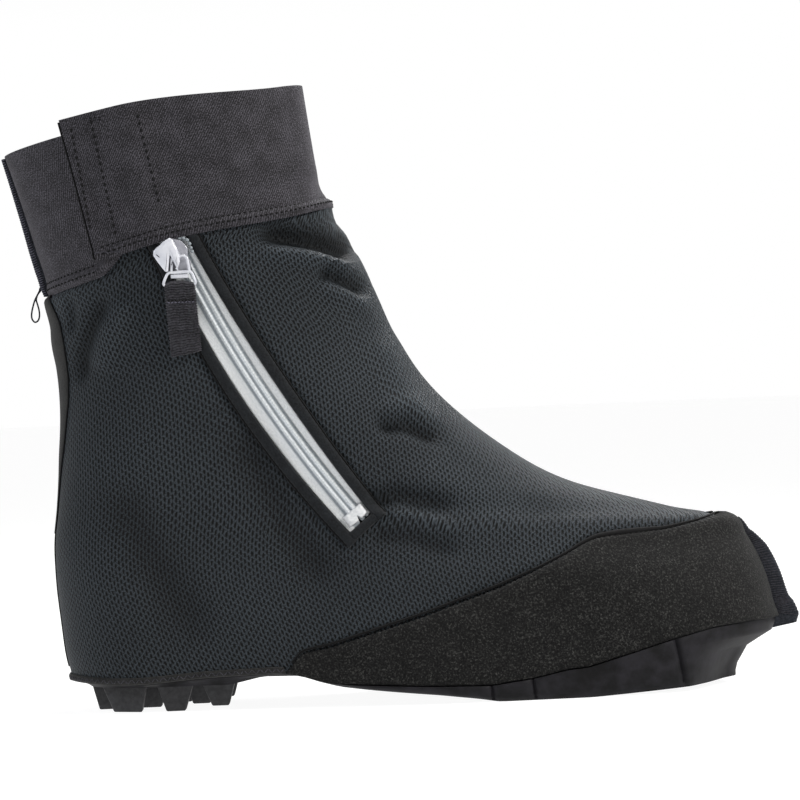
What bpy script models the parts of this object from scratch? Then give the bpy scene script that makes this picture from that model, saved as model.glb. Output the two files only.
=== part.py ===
"""A winter overshoe: a knitted cover with a side zip, a wrapped cuff and a moulded sole, for the right foot.

x runs from the back of the heel to the toe, y from the outer side of the foot (negative) to its inner side, and
z up from the floor. The finished shoe is then centred over the origin. All sizes are in metres.
"""
import math
from collections import namedtuple

import bmesh
import bpy
import numpy as np
from mathutils import Matrix, Vector

# Driving sizes of the cover
COVER_LENGTH = 0.308
BALL_WIDTH = 0.108
HEEL_WIDTH = 0.078
TOE_HEIGHT = 0.073
INSTEP_HEIGHT = 0.108
SHAFT_DEPTH = 0.120
SHAFT_WIDTH = 0.086
COLLAR_BACK = 0.1803
COLLAR_FRONT = 0.212
CUFF_BACK = 0.059
CUFF_FRONT = 0.051
TOE_SWING = 0.008
INNER_WAIST = 0.005
OUTER_WAIST = 0.002
WALL = 0.0025
TUCK = 0.008
GAP = 0.0003

# Sole
SOLE_HEIGHT = 0.0135
TOE_EDGE = 0.028
LEDGE_GAP = 0.0005
HEEL_INSET = 0.0075
SOLE_PROUD = 0.0024
TOE_NOTCH = 0.0180
LIP_THICKNESS = 0.002
LIP_ROWS = 0.5
BED_THICKNESS = 0.007
INSOLE_THICKNESS = 0.003
GUIDE_WIDTH = 0.007
GUIDE_DEPTH = 0.0025
GUIDE_SPACING = 0.030
FLEX_WIDTH = 0.0014
FLEX_DEPTH = 0.0009
LUG_DEPTH = 0.012
MIDDLE_LUG_WIDTH = 0.010
LUG_INSET = 0.0010
LUG_TAPER = 0.002
LUG_EMBED = 0.002

# Sewn-on pieces
CUFF_THICKNESS = 0.002
FLAP_LIFT = 0.006
RAND_THICKNESS = 0.0013
HEM_THICKNESS = 0.0008
HEM_WIDTH = 0.0035
TAPE_THICKNESS = 0.0008
SEAM_THICKNESS = 0.0024
CUFF_SEAM_DEPTH = 0.0033

# Zip
ZIP_BOW = 0.0045
ZIP_WIDTH_ENDS = 0.0118
ZIP_WIDTH_MIDDLE = 0.0150
SLOT_MARGIN = 0.0008
WELT_WIDTH = 0.0048
WELT_THICKNESS = 0.0012
WELT_END = 0.0040
ZIP_TAPE_THICKNESS = 0.0010
ZIP_TAPE_DEPTH = 0.0004
COIL_WIDTH = 0.0056
COIL_THICKNESS = 0.0012
STOP_LENGTH = 0.0045
STOP_WIDTH = 0.00644
SLIDER_LENGTH = 0.0175
SLIDER_WIDTH = 0.0152
SLIDER_TIP = 0.0092
SLIDER_PLATE = 0.0018
CROWN_WIDTH = 0.0030
CROWN_HEIGHT = 0.0036
CROWN_BAR = 0.0011
WIRE_RADIUS = 0.0006
PULL_DROP = 0.0118
PULL_TOP_WIDTH = 0.0070
PULL_WIDTH = 0.0154
TAB_WIDTH = 0.0128
TAB_LENGTH = 0.0305
TAB_THICKNESS = 0.0019
TAB_LEAN = 0.0022

TURNS = 52
LEVELS = (0, 0.5, 1, 1.5, 2, 2.6, 3.2, 3.8, 4.4, 5, 5.5, 6, 6.6, 7.3, 8, 8.7, 9.4, 10.2, 11, 12, 13)
COLLAR_ROW = 13
TOP_ROW = 16
RAND_TOP_ROW = 6.6
TAPE_LOW_ROW = 8
ZIP_LOW_ROW = 4.4
TAPE_REACH = 0.95
CUFF_LEVELS = 5

# The rings of the cover, hem to cuff top. A level of 0 is the hem, 1 the top of the toe, 2 the instep, 3
# the collar and 4 the cuff's top. back_x is a share of the shaft's depth. Foot rows take front_x and
# round_front from the cover's length, half_rear and round_rear from the heel's width and half_front from
# the ball's width. Shaft rows take lengths from the shaft's depth and half widths from the shaft's width.
Row = namedtuple("Row", "group back_level front_level back_x front_x half_rear half_front round_rear "
                        "round_front waist")
ROWS = (
    Row("foot", 0.00, 0.00, 0.042, 0.999, 0.494, 0.485, 0.54, 0.247, 1.00),
    Row("foot", 0.18, 0.13, 0.025, 0.992, 0.506, 0.491, 0.54, 0.253, 1.00),
    Row("foot", 0.38, 0.36, 0.013, 0.984, 0.519, 0.481, 0.54, 0.273, 0.85),
    Row("foot", 0.61, 0.58, 0.003, 0.973, 0.526, 0.463, 0.54, 0.308, 0.55),
    Row("foot", 0.81, 0.77, 0.000, 0.959, 0.526, 0.435, 0.55, 0.357, 0.25),
    Row("foot", 1.00, 0.97, 0.000, 0.940, 0.519, 0.412, 0.58, 0.396, 0.00),
    Row("foot", 1.37, 1.13, 0.012, 0.851, 0.513, 0.394, 0.59, 0.422, 0.00),
    Row("foot", 1.71, 1.48, 0.023, 0.719, 0.506, 0.389, 0.60, 0.299, 0.00),
    Row("foot", 2.00, 2.00, 0.031, 0.617, 0.506, 0.389, 0.62, 0.240, 0.00),
    Row("shaft", 2.18, 2.21, 0.041, 1.383, 0.465, 0.488, 0.42, 0.567, 0.00),
    Row("shaft", 2.35, 2.43, 0.042, 1.254, 0.471, 0.488, 0.45, 0.550, 0.00),
    Row("shaft", 2.53, 2.65, 0.036, 1.171, 0.477, 0.488, 0.48, 0.517, 0.00),
    Row("shaft", 2.71, 2.86, 0.024, 1.096, 0.483, 0.488, 0.49, 0.500, 0.00),
    Row("shaft", 3.00, 3.00, 0.030, 0.992, 0.483, 0.483, 0.50, 0.500, 0.00),
    Row("shaft", 3.33, 3.33, -0.008, 0.967, 0.488, 0.488, 0.50, 0.500, 0.00),
    Row("shaft", 3.67, 3.67, -0.048, 0.946, 0.494, 0.494, 0.50, 0.500, 0.00),
    Row("shaft", 4.00, 4.00, -0.088, 0.927, 0.500, 0.500, 0.50, 0.500, 0.00),
)

# Where the foot's form changes, as shares of the cover's length: how it widens from the heel to the ball on
# either side, where its waist lies, and where its middle starts to swing. The hem's own height fades out
# over a few rows.
OUTER_WIDENS = 0.15
INNER_WIDENS = 0.25
WIDENING = 0.42
WAIST_PLACE = 0.40
WAIST_SPREAD = 0.115
SWING_START = 0.35
HEM_FADE = 3.2

# Heights along the foot: x as a share of the cover's length, z as a share of the sole's height
Edge = namedtuple("Edge", "x z")
HEM_LINE = (
    Edge(0.016, 0.99), Edge(0.080, 0.90), Edge(0.124, 0.91), Edge(0.207, 1.05), Edge(0.309, 1.12),
    Edge(0.336, 1.03), Edge(0.375, 0.76), Edge(0.422, 0.70), Edge(0.508, 0.59), Edge(0.594, 0.54),
    Edge(0.650, 0.69), Edge(0.702, 0.93), Edge(0.724, 0.95), Edge(0.768, 1.22), Edge(0.842, 1.68),
    Edge(0.900, 1.97), Edge(0.960, 2.07), Edge(1.000, 2.07),
)
SOLE_LINE = (
    Edge(0.000, 0.78), Edge(0.240, 0.78), Edge(0.285, 1.00), Edge(0.335, 0.98), Edge(0.363, 0.76),
    Edge(0.390, 0.61), Edge(0.470, 0.40), Edge(0.525, 0.27), Edge(0.578, 0.11), Edge(0.605, 0.00),
    Edge(0.730, 0.00), Edge(0.795, 0.08), Edge(0.877, 0.18), Edge(0.930, 0.22), Edge(1.000, 0.22),
)
BED_LINE = (
    Edge(0.000, 0.78), Edge(0.240, 0.78), Edge(0.335, 0.88), Edge(0.470, 0.55), Edge(0.605, 0.10),
    Edge(0.700, 0.12), Edge(0.795, 0.38), Edge(0.877, 0.82), Edge(0.930, 1.10), Edge(1.000, 1.35),
)

# The side of the sole, bottom to ledge. heel is a share of the heel's inset, fore of how far the forefoot
# stands proud, and toe of the notch at the toe; rise is a share of the height from the bottom edge to the
# ledge.
SidePoint = namedtuple("SidePoint", "rise heel fore toe")
SOLE_SIDE = (
    SidePoint(0.00, 1.00, -0.35, 1.00),
    SidePoint(0.22, 0.94, 0.55, 0.95),
    SidePoint(0.52, 0.80, 0.92, 0.70),
    SidePoint(0.78, 0.62, 1.05, 0.16),
    SidePoint(1.00, 0.50, 0.90, 0.12),
)
FOREFOOT_START = 0.355
FOREFOOT_FULL = 0.440
NOTCH_START = 0.845
NOTCH_FULL = 0.975

# The heel's lugs, rear to front: x as shares of the way from the sole's back to the heel's breast, lift as
# a share of the sole's height. The breast is a share of the cover's length.
HEEL_BREAST = 0.240
Lug = namedtuple("Lug", "top_rear top_front foot_rear foot_front lift")
SIDE_LUGS = (
    Lug(0.087, 0.418, 0.177, 0.378, 0.0),
    Lug(0.483, 0.744, 0.548, 0.679, 0.0),
    Lug(0.794, 1.030, 0.865, 0.980, 0.12),
)
MIDDLE_LUGS = (
    Lug(0.007, 0.217, 0.057, 0.177, 0.0),
    Lug(0.308, 0.548, 0.358, 0.488, 0.0),
    Lug(0.649, 0.890, 0.709, 0.829, 0.06),
)
FLEX_LINES = (0.594, 0.650, 0.845)
GUIDE_START = 0.46
GUIDE_END = 0.90

# The upper edge of the rand in the side view, rear to toe: x as a share of the cover's length, z of the
# toe's height
RAND_SEAM = (
    Edge(0.318, 0.20), Edge(0.338, 0.315), Edge(0.381, 0.345), Edge(0.446, 0.425), Edge(0.512, 0.505),
    Edge(0.556, 0.570), Edge(0.608, 0.641), Edge(0.661, 0.733), Edge(0.705, 0.815), Edge(0.728, 0.868),
    Edge(0.745, 0.897), Edge(0.779, 0.912), Edge(0.841, 0.927), Edge(0.889, 0.962), Edge(0.930, 1.000),
    Edge(0.965, 1.060),
)

# The overlocked seams up the cuff's back and down the front of the toe: ring row, and depth as a share of
# the seam's full depth. The toe's runs on below the hem by a drop, and sets back there by a share of its
# depth.
TOE_SEAM_DEPTH = 0.0075
SeamStep = namedtuple("SeamStep", "row depth")
BACK_SEAM = (
    SeamStep(13.06, 0.50), SeamStep(13.3, 0.90), SeamStep(13.75, 1.00), SeamStep(14.5, 1.00),
    SeamStep(15.25, 1.00), SeamStep(15.95, 0.95),
)
TOE_SEAM = (
    SeamStep(5.0, 0.10), SeamStep(4.4, 0.25), SeamStep(3.8, 0.37), SeamStep(3.2, 0.44), SeamStep(2.6, 0.49),
    SeamStep(2.0, 0.54), SeamStep(1.5, 0.60), SeamStep(1.0, 0.70), SeamStep(0.5, 0.86),
    SeamStep(0.0, 1.00),
)
TOE_SEAM_DROP = 0.0045
TOE_SEAM_SETBACK = 0.2

# The tape at the back, top to bottom: x as a share of the shaft's depth, z of the collar's height at the
# back
BACK_TAPE = (
    Edge(0.046, 1.10), Edge(0.042, 1.000), Edge(0.060, 0.928), Edge(0.078, 0.785), Edge(0.084, 0.738),
    Edge(0.060, 0.680),
)

# The zip's line: x as a share of the shaft's depth. Its top's z is a share of the collar's height there,
# its end's of the collar's height at the front.
ZIP_TOP = Edge(0.504, 0.97928)
ZIP_END = Edge(1.097, 0.359)
ZIP_STEPS = 12
SLIDER_PLACE = 0.012
# How far its pieces and its slot run on above the zip's top, under the cuff, as shares of its length
ZIP_HEAD = -0.10
SLOT_HEAD = -0.16
OPENING_HEAD = -0.20
ZIP_HEAD_ROWS = 0.5

# The cuff's wrap, as angles around the shaft from its back: where the band starts under the flap, where the
# flap starts to step over it, where it has, and the flap's end
BAND_START = 1.30
FLAP_STEP_START = 1.62
FLAP_STEP_END = 1.36
FLAP_END = 0.97
LIFT_START = 2.58


# Half of the slider's outline, nose to tail: x as a share of half its length, z of half its width at its
# shoulders and of half its width at the tail
SLIDER_SHOULDER = (Edge(-1.00, 0.35), Edge(-0.62, 0.92), Edge(-0.15, 1.00))
SLIDER_TAIL = (Edge(0.95, 1.00), Edge(1.00, 0.60))
# The crown's outer and inner half lengths as shares of the slider's length, and where its roof starts and
# ends
CROWN_REACH = 0.38
CROWN_SPAN = 0.20
ROOF_START = -0.75
ROOF_END = 0.60
# How far the bail's wire rounds its corners, and how much of the tab is folded over it
WIRE_BEND = 0.0016
FOLD_SHARE = 0.35
FOLD_ROUND = 0.95


def clear_scene():
    for item in list(bpy.data.objects):
        bpy.data.objects.remove(item, do_unlink=True)


def material(name, colour, roughness, metallic=0.0):
    made = bpy.data.materials.new(name)
    made.use_nodes = True
    shader = made.node_tree.nodes["Principled BSDF"]
    shader.inputs["Base Color"].default_value = (*colour, 1.0)
    shader.inputs["Roughness"].default_value = roughness
    shader.inputs["Metallic"].default_value = metallic
    return made


def smoothstep(value):
    part = np.clip(value, 0.0, 1.0)
    return part * part * (3 - 2 * part)


def line_height(line, x):
    shares = np.asarray(x) / COVER_LENGTH
    return SOLE_HEIGHT * np.interp(shares, [p.x for p in line], [p.z for p in line])


# The cover's outer surface, from its rings

def ring_values():
    """Each ring as lengths: back x, back z, front x, front z, half widths, roundings and waist."""
    back_heights = (SOLE_HEIGHT, TOE_HEIGHT, INSTEP_HEIGHT, COLLAR_BACK, COLLAR_BACK + CUFF_BACK)
    front_heights = (TOE_EDGE, TOE_HEIGHT, INSTEP_HEIGHT, COLLAR_FRONT, COLLAR_FRONT + CUFF_FRONT)
    table = []
    for row in ROWS:
        foot = row.group == "foot"
        long_size = COVER_LENGTH if foot else SHAFT_DEPTH
        rear_size = HEEL_WIDTH if foot else SHAFT_WIDTH
        front_size = BALL_WIDTH if foot else SHAFT_WIDTH
        table.append((
            row.back_x * SHAFT_DEPTH,
            np.interp(row.back_level, range(5), back_heights),
            row.front_x * long_size,
            np.interp(row.front_level, range(5), front_heights),
            row.half_rear * rear_size,
            row.half_front * front_size,
            row.round_rear * (HEEL_WIDTH if foot else SHAFT_DEPTH),
            row.round_front * long_size,
            row.waist,
        ))
    return np.array(table)


RINGS = ring_values()


def ring_at(row):
    """The ring's values at any row, on a smooth curve through the rings, straight past either end."""
    row = np.asarray(row, dtype=float)
    first = np.clip(np.floor(row).astype(int), 0, len(RINGS) - 2)
    padded = np.vstack((2 * RINGS[0] - RINGS[1], RINGS, 2 * RINGS[-1] - RINGS[-2]))
    before, start, end, after = (padded[first + step] for step in range(4))
    part = (row - first)[..., None]
    inside = np.clip(part, 0.0, 1.0)
    leave = (end - before) / 2
    arrive = (after - start) / 2
    curve = (
        (2 * inside**3 - 3 * inside**2 + 1) * start
        + (inside**3 - 2 * inside**2 + inside) * leave
        + (3 * inside**2 - 2 * inside**3) * end
        + (inside**3 - inside**2) * arrive
    )
    return curve + np.where(part > 1, (part - 1) * arrive, 0) + np.where(part < 0, part * leave, 0)


def centre_line(x):
    """How far the foot's middle swings to the inner side."""
    return TOE_SWING * smoothstep((x / COVER_LENGTH - SWING_START) / (1 - SWING_START))


def surface(turn, row):
    """A point of the cover's outer surface. turn is 0 at the back, pi at the front, the outer side between."""
    turn, row = np.broadcast_arrays(np.asarray(turn, float), np.asarray(row, float))
    values = ring_at(row)
    back_x, back_z, front_x, front_z, rear, front, round_rear, round_front, waist = np.moveaxis(values, -1, 0)
    along = (1 - np.cos(turn)) / 2
    x = back_x + along * (front_x - back_x)
    z = back_z + along * (front_z - back_z)
    hem_start, hem_end = RINGS[0][0], RINGS[0][2]
    flat_hem = SOLE_HEIGHT + (TOE_EDGE - SOLE_HEIGHT) * (x - hem_start) / (hem_end - hem_start)
    z = z + smoothstep(1 - row / HEM_FADE) * (line_height(HEM_LINE, x) - flat_hem)
    outer = np.sin(turn) > 0
    share = x / COVER_LENGTH
    grow = smoothstep((share - np.where(outer, OUTER_WIDENS, INNER_WIDENS)) / WIDENING)
    dip = np.where(outer, OUTER_WAIST, INNER_WAIST) * np.exp(-((share - WAIST_PLACE) / WAIST_SPREAD) ** 2)
    half = rear + (front - rear) * grow - waist * dip
    rear_end = np.clip(1 - (x - back_x) / round_rear, 0, 1)
    front_end = np.clip(1 - (front_x - x) / round_front, 0, 1)
    half = half * np.sqrt(np.maximum(1 - rear_end**2, 0)) * np.sqrt(np.maximum(1 - front_end**2, 0))
    y = centre_line(x) + np.where(outer, -half, half)
    return np.stack((x, y, z), axis=-1)


def normal(turn, row):
    """Outward normal, level at the hem."""
    turn, row = np.broadcast_arrays(np.asarray(turn, float), np.asarray(row, float))
    step = 0.002
    around = surface(turn + step, row) - surface(turn - step, row)
    upward = surface(turn, row + step) - surface(turn, row - step)
    out = np.cross(around, upward)
    out[..., 2] *= np.clip(row / LIP_ROWS, 0, 1)
    return out / np.linalg.norm(out, axis=-1, keepdims=True)


def skin(turn, row, out):
    """The surface moved out along its normal."""
    out = np.broadcast_to(np.asarray(out, float), np.broadcast_arrays(turn, row)[0].shape)
    return surface(turn, row) + normal(turn, row) * out[..., None]


def place(x, z):
    """The turn and row of the outer side's point that the side view shows at x, z."""
    low, high = 0.0, float(TOP_ROW)
    for _ in range(40):
        row = (low + high) / 2
        values = ring_at(row)
        along = np.clip((x - values[0]) / (values[2] - values[0]), 0, 1)
        turn = math.acos(1 - 2 * along)
        if surface(turn, row)[2] < z:
            low = row
        else:
            high = row
    return turn, row


# Making solids

def finished_mesh(name, shape):
    """The shape as a mesh, with its faces turned outwards."""
    bmesh.ops.recalc_face_normals(shape, faces=shape.faces)
    mesh = bpy.data.meshes.new(name)
    shape.to_mesh(mesh)
    shape.free()
    return mesh


def new_object(name, mesh, finish, smooth=True):
    piece = bpy.data.objects.new(name, mesh)
    bpy.context.collection.objects.link(piece)
    mesh.materials.append(finish)
    if smooth:
        mesh.shade_smooth()
        mesh.set_sharp_from_angle(angle=math.radians(40))
    return piece


def closed_mesh(name, points, faces):
    """A closed mesh from points and faces."""
    shape = bmesh.new()
    corners = [shape.verts.new(point) for point in points]
    for face in faces:
        shape.faces.new([corners[index] for index in face])
    return finished_mesh(name, shape)


def shell(name, turns, rows, inner, outer, finish, ring=False):
    """A closed solid between two offsets of the surface. rows may differ from turn to turn."""
    turns = np.asarray(turns, float)
    rows = np.asarray(rows, float)
    if rows.ndim == 1:
        rows = np.repeat(rows[:, None], len(turns), axis=1)
    across = np.broadcast_to(turns, rows.shape)
    inside = skin(across, rows, np.broadcast_to(inner, rows.shape))
    outside = skin(across, rows, np.broadcast_to(outer, rows.shape))
    points = [Vector(p) for p in np.concatenate((outside.reshape(-1, 3), inside.reshape(-1, 3)))]
    levels, count = rows.shape
    half = levels * count
    faces = []
    last = count if ring else count - 1
    for level in range(levels - 1):
        for turn in range(last):
            a = level * count + turn
            b = level * count + (turn + 1) % count
            faces.append((a, b, b + count, a + count))
            faces.append((half + a, half + a + count, half + b + count, half + b))
    for turn in range(last):
        following = (turn + 1) % count
        top = (levels - 1) * count
        faces.append((turn, half + turn, half + following, following))
        faces.append((top + turn, top + following, half + top + following, half + top + turn))
    if not ring:
        for level in range(levels - 1):
            for side in (0, count - 1):
                a = level * count + side
                faces.append((a, a + count, half + a + count, half + a))
    return new_object(name, closed_mesh(name, points, faces), finish)


def side_cutter(name, outline, near, far):
    """A hidden prism: an outline in the side view, drawn out from y near to y far."""
    shape = bmesh.new()
    face = shape.faces.new([shape.verts.new((x, near, z)) for x, z in outline])
    drawn = bmesh.ops.extrude_face_region(shape, geom=[face])
    moved = [item for item in drawn["geom"] if isinstance(item, bmesh.types.BMVert)]
    bmesh.ops.translate(shape, verts=moved, vec=(0, far - near, 0))
    return hidden(name, finished_mesh(name, shape))


def hidden(name, mesh):
    cutter = bpy.data.objects.new(name, mesh)
    bpy.context.collection.objects.link(cutter)
    cutter.hide_render = True
    cutter.display_type = "WIRE"
    return cutter


def combine(piece, other, operation, solver="EXACT"):
    step = piece.modifiers.new(operation.lower(), "BOOLEAN")
    step.operation = operation
    step.object = other
    step.solver = solver
    return piece


def block(shape, corners):
    """Adds a six-sided block from its four lower and four upper corners."""
    verts = [shape.verts.new(corner) for corner in corners]
    for face in ((3, 2, 1, 0), (4, 5, 6, 7), (0, 1, 5, 4), (1, 2, 6, 5), (2, 3, 7, 6), (3, 0, 4, 7)):
        shape.faces.new([verts[index] for index in face])


def all_turns():
    return [2 * math.pi * index / TURNS for index in range(TURNS)]


def side_turns():
    """The turns of the outer side alone, back and front centre left out."""
    return [turn for turn in all_turns() if 0.05 < turn < math.pi - 0.05]


# Outlines in the side view

OUTER_SIDE = (-BALL_WIDTH, -SHAFT_WIDTH * 0.12)
BOTH_SIDES = (-BALL_WIDTH, BALL_WIDTH)


def collar_height(x):
    """z of the collar's edge at x, before the cuff's wrap lifts from it."""
    back_x, back_z, front_x, front_z = RINGS[COLLAR_ROW][:4]
    return back_z + (front_z - back_z) * (x - back_x) / (front_x - back_x)


def zip_line(share):
    """A point of the zip's line in the side view and its direction, 0 at the top and 1 at the lower end."""
    top_x = ZIP_TOP.x * SHAFT_DEPTH
    top = np.array((top_x, ZIP_TOP.z * collar_height(top_x)))
    end = np.array((ZIP_END.x * SHAFT_DEPTH, ZIP_END.z * COLLAR_FRONT))
    run = end - top
    across = np.array((run[1], -run[0])) / np.linalg.norm(run)
    point = top + run * share + across * ZIP_BOW * 4 * share * (1 - share)
    heading = run + across * ZIP_BOW * 4 * (1 - 2 * share)
    return point, heading / np.linalg.norm(heading), np.linalg.norm(run)


def zip_strip(start, end, extra, width=None):
    """Outline of a strip along the zip's line. Its width is the zip's own, or the one given."""
    left, right = [], []
    for index in range(ZIP_STEPS + 1):
        share = start + (end - start) * index / ZIP_STEPS
        point, heading, _ = zip_line(share)
        swell = math.sin(math.pi * min(max(share, 0), 1))
        full = ZIP_WIDTH_ENDS + (ZIP_WIDTH_MIDDLE - ZIP_WIDTH_ENDS) * swell if width is None else width
        half = full / 2
        across = np.array((heading[1], -heading[0])) * (half + extra)
        left.append(tuple(point + across))
        right.append(tuple(point - across))
    return left + right[::-1]


def flap_lift(turn):
    """How many rows the wrap has risen where it passes this turn of the outer side."""
    row_height = (CUFF_FRONT + CUFF_BACK) / 2 / (TOP_ROW - COLLAR_ROW)
    return FLAP_LIFT / row_height * smoothstep((LIFT_START - turn) / (LIFT_START - FLAP_STEP_END))


def below_cuff():
    """Outline of all that lies below the cuff's lower edge on the outer side."""
    edge = []
    for turn in [0.0] + side_turns() + [math.pi]:
        row = COLLAR_ROW + (flap_lift(turn) if turn > FLAP_STEP_END - 0.05 else 0.0)
        x, _, z = surface(turn, row)
        edge.append((float(x), float(z) - 2 * GAP))
    first, last = edge[0], edge[-1]
    reach = SHAFT_DEPTH
    return [(first[0] - reach, first[1])] + edge + [(last[0] + 2 * reach, last[1]),
                                                  (last[0] + 2 * reach, -reach), (first[0] - reach, -reach)]


# The pieces

def make_upper(finish):
    tuck_rows = TUCK / (CUFF_BACK / (TOP_ROW - COLLAR_ROW))
    rows = LEVELS + (COLLAR_ROW + tuck_rows,)
    upper = shell("upper", all_turns(), rows, -WALL, 0.0, finish, ring=True)
    slot = side_cutter("zip_slot", zip_strip(SLOT_HEAD, 1.0, SLOT_MARGIN), *OUTER_SIDE)
    return combine(upper, slot, "DIFFERENCE")


def rim(out, line=None, rise=0.0):
    """The hem's outline moved out level, at the height of a line or of the hem."""
    points = skin(all_turns(), 0.0, out)
    if line is not None:
        points[:, 2] = line_height(line, points[:, 0])
    points[:, 2] += rise
    return points


def side_offset(point, shares):
    """How far a point of the sole's side lies outside the hem's outline, for each x."""
    fore = smoothstep((shares - FOREFOOT_START) / (FOREFOOT_FULL - FOREFOOT_START))
    toe = smoothstep((shares - NOTCH_START) / (NOTCH_FULL - NOTCH_START))
    out = -point.heel * HEEL_INSET * (1 - fore) + point.fore * SOLE_PROUD * fore
    return out * (1 - toe) - point.toe * TOE_NOTCH * toe


def ladder(first, count):
    """Faces across a ring of points, between its outer and inner sides."""
    middle = count // 2
    faces = [(first, first + 1, first + count - 1)]
    for step in range(1, middle - 1):
        faces.append((first + step, first + step + 1, first + count - step - 1, first + count - step))
    faces.append((first + middle - 1, first + middle, first + middle + 1))
    return faces


def ring_solid(name, rings, finish):
    """A closed solid through rings of points, with the first and last ring filled across."""
    points = [Vector(point) for ring in rings for point in ring]
    faces = ladder(0, TURNS) + ladder((len(rings) - 1) * TURNS, TURNS)
    for level in range(len(rings) - 1):
        for turn in range(TURNS):
            a = level * TURNS + turn
            b = level * TURNS + (turn + 1) % TURNS
            faces.append((a, b, b + TURNS, a + TURNS))
    return new_object(name, closed_mesh(name, points, faces), finish)


def bed_ring(inset, lift):
    """The foot bed's outline, inside the lip."""
    points = skin(all_turns(), LIP_ROWS, -(WALL + GAP + LIP_THICKNESS + inset))
    points[:, 2] = line_height(BED_LINE, points[:, 0]) + BED_THICKNESS + lift
    return points


def make_outsole(finish):
    shares = surface(all_turns(), 0.0)[:, 0] / COVER_LENGTH
    rings = []
    for point in SOLE_SIDE:
        edge = rim(side_offset(point, shares))
        bottom = line_height(SOLE_LINE, edge[:, 0])
        ledge = line_height(HEM_LINE, edge[:, 0]) - LEDGE_GAP
        edge[:, 2] = bottom + (ledge - bottom) * point.rise
        rings.append(edge)
    inside = WALL + GAP
    rings.append(rim(-inside, rise=-LEDGE_GAP))
    rings.append(skin(all_turns(), LIP_ROWS, -inside))
    rings.append(skin(all_turns(), LIP_ROWS, -(inside + LIP_THICKNESS)))
    rings.append(bed_ring(0.0, 0.0))
    sole = ring_solid("outsole", rings, finish)
    # The exact solver loses the sole here, so the lugs are joined by the manifold one
    combine(sole, make_lugs(), "UNION", "MANIFOLD")
    combine(sole, make_grooves(), "DIFFERENCE")
    return sole


def sole_edge(x, side, out):
    """y at x of the hem's outline moved out level, on the outer side (-1) or the inner side (1)."""
    turns = np.linspace(0.05, math.pi - 0.4, 120)
    if side > 0:
        turns = 2 * math.pi - turns
    points = skin(turns, 0.0, out)
    return float(np.interp(x, points[:, 0], points[:, 1]))


def lug_x(share):
    """x at a share of the way from the sole's back to the heel's breast."""
    back = RINGS[0][0] + HEEL_INSET
    return back + share * (HEEL_BREAST * COVER_LENGTH - back)


def make_lugs():
    """Three rows of lugs under the heel, as one hidden form to be joined to the sole."""
    shape = bmesh.new()
    top = SOLE_HEIGHT * SOLE_LINE[0].z + LUG_EMBED
    for side in (-1, 1):
        for lug in SIDE_LUGS:
            foot = lug.lift * SOLE_HEIGHT
            low, high = [], []
            for share, edge_share in ((lug.foot_rear, lug.top_rear), (lug.foot_front, lug.top_front)):
                x, wide = lug_x(share), lug_x(edge_share)
                edge_low = sole_edge(x, side, -HEEL_INSET) - side * (LUG_TAPER + LUG_INSET)
                edge_high = sole_edge(wide, side, -HEEL_INSET) - side * LUG_INSET
                low.append(((x, edge_low, foot), (x, edge_low - side * (LUG_DEPTH - 2 * LUG_TAPER), foot)))
                high.append(((wide, edge_high, top), (wide, edge_high - side * LUG_DEPTH, top)))
            corners = [low[0][0], low[1][0], low[1][1], low[0][1], high[0][0], high[1][0], high[1][1], high[0][1]]
            block(shape, corners)
    for lug in MIDDLE_LUGS:
        foot = lug.lift * SOLE_HEIGHT
        half_top = MIDDLE_LUG_WIDTH / 2
        half_foot = half_top - LUG_TAPER
        xs_low = (lug_x(lug.foot_rear), lug_x(lug.foot_front))
        xs_top = (lug_x(lug.top_rear), lug_x(lug.top_front))
        block(shape, (
            (xs_low[0], -half_foot, foot), (xs_low[1], -half_foot, foot),
            (xs_low[1], half_foot, foot), (xs_low[0], half_foot, foot),
            (xs_top[0], -half_top, top), (xs_top[1], -half_top, top),
            (xs_top[1], half_top, top), (xs_top[0], half_top, top),
        ))
    return hidden("lugs", finished_mesh("lugs", shape))


def make_grooves():
    """Two guide grooves along the forefoot and the flex lines down both of its sides, as one hidden cutter."""
    shape = bmesh.new()
    low = -SOLE_HEIGHT
    outline = [(GUIDE_START * COVER_LENGTH, low)]
    for share in (GUIDE_START, SOLE_LINE[9].x, SOLE_LINE[10].x, GUIDE_END):
        x = share * COVER_LENGTH
        outline.append((x, float(line_height(SOLE_LINE, x)) + GUIDE_DEPTH))
    outline.append((GUIDE_END * COVER_LENGTH, low))
    for side in (-1, 1):
        near = side * GUIDE_SPACING / 2 - GUIDE_WIDTH / 2
        points = [np.array((x, near, z)) for x, z in outline]
        extrude_outline(shape, points, np.zeros(3), np.array((0.0, GUIDE_WIDTH, 0.0)))
        for share in FLEX_LINES:
            x0 = share * COVER_LENGTH - FLEX_WIDTH / 2
            x1 = x0 + FLEX_WIDTH
            inner = sole_edge(x0, side, SOLE_SIDE[1].fore * SOLE_PROUD - FLEX_DEPTH)
            outer = inner + side * HEEL_INSET
            high = float(line_height(HEM_LINE, x0)) + SOLE_PROUD
            block(shape, ((x0, inner, low), (x1, inner, low), (x1, outer, low), (x0, outer, low),
                          (x0, inner, high), (x1, inner, high), (x1, outer, high), (x0, outer, high)))
    return hidden("grooves", finished_mesh("grooves", shape))


def make_insole(finish):
    low = bed_ring(2 * GAP, GAP)
    high = bed_ring(2 * GAP, GAP + INSOLE_THICKNESS)
    return ring_solid("insole", [low, high], finish)


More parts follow.
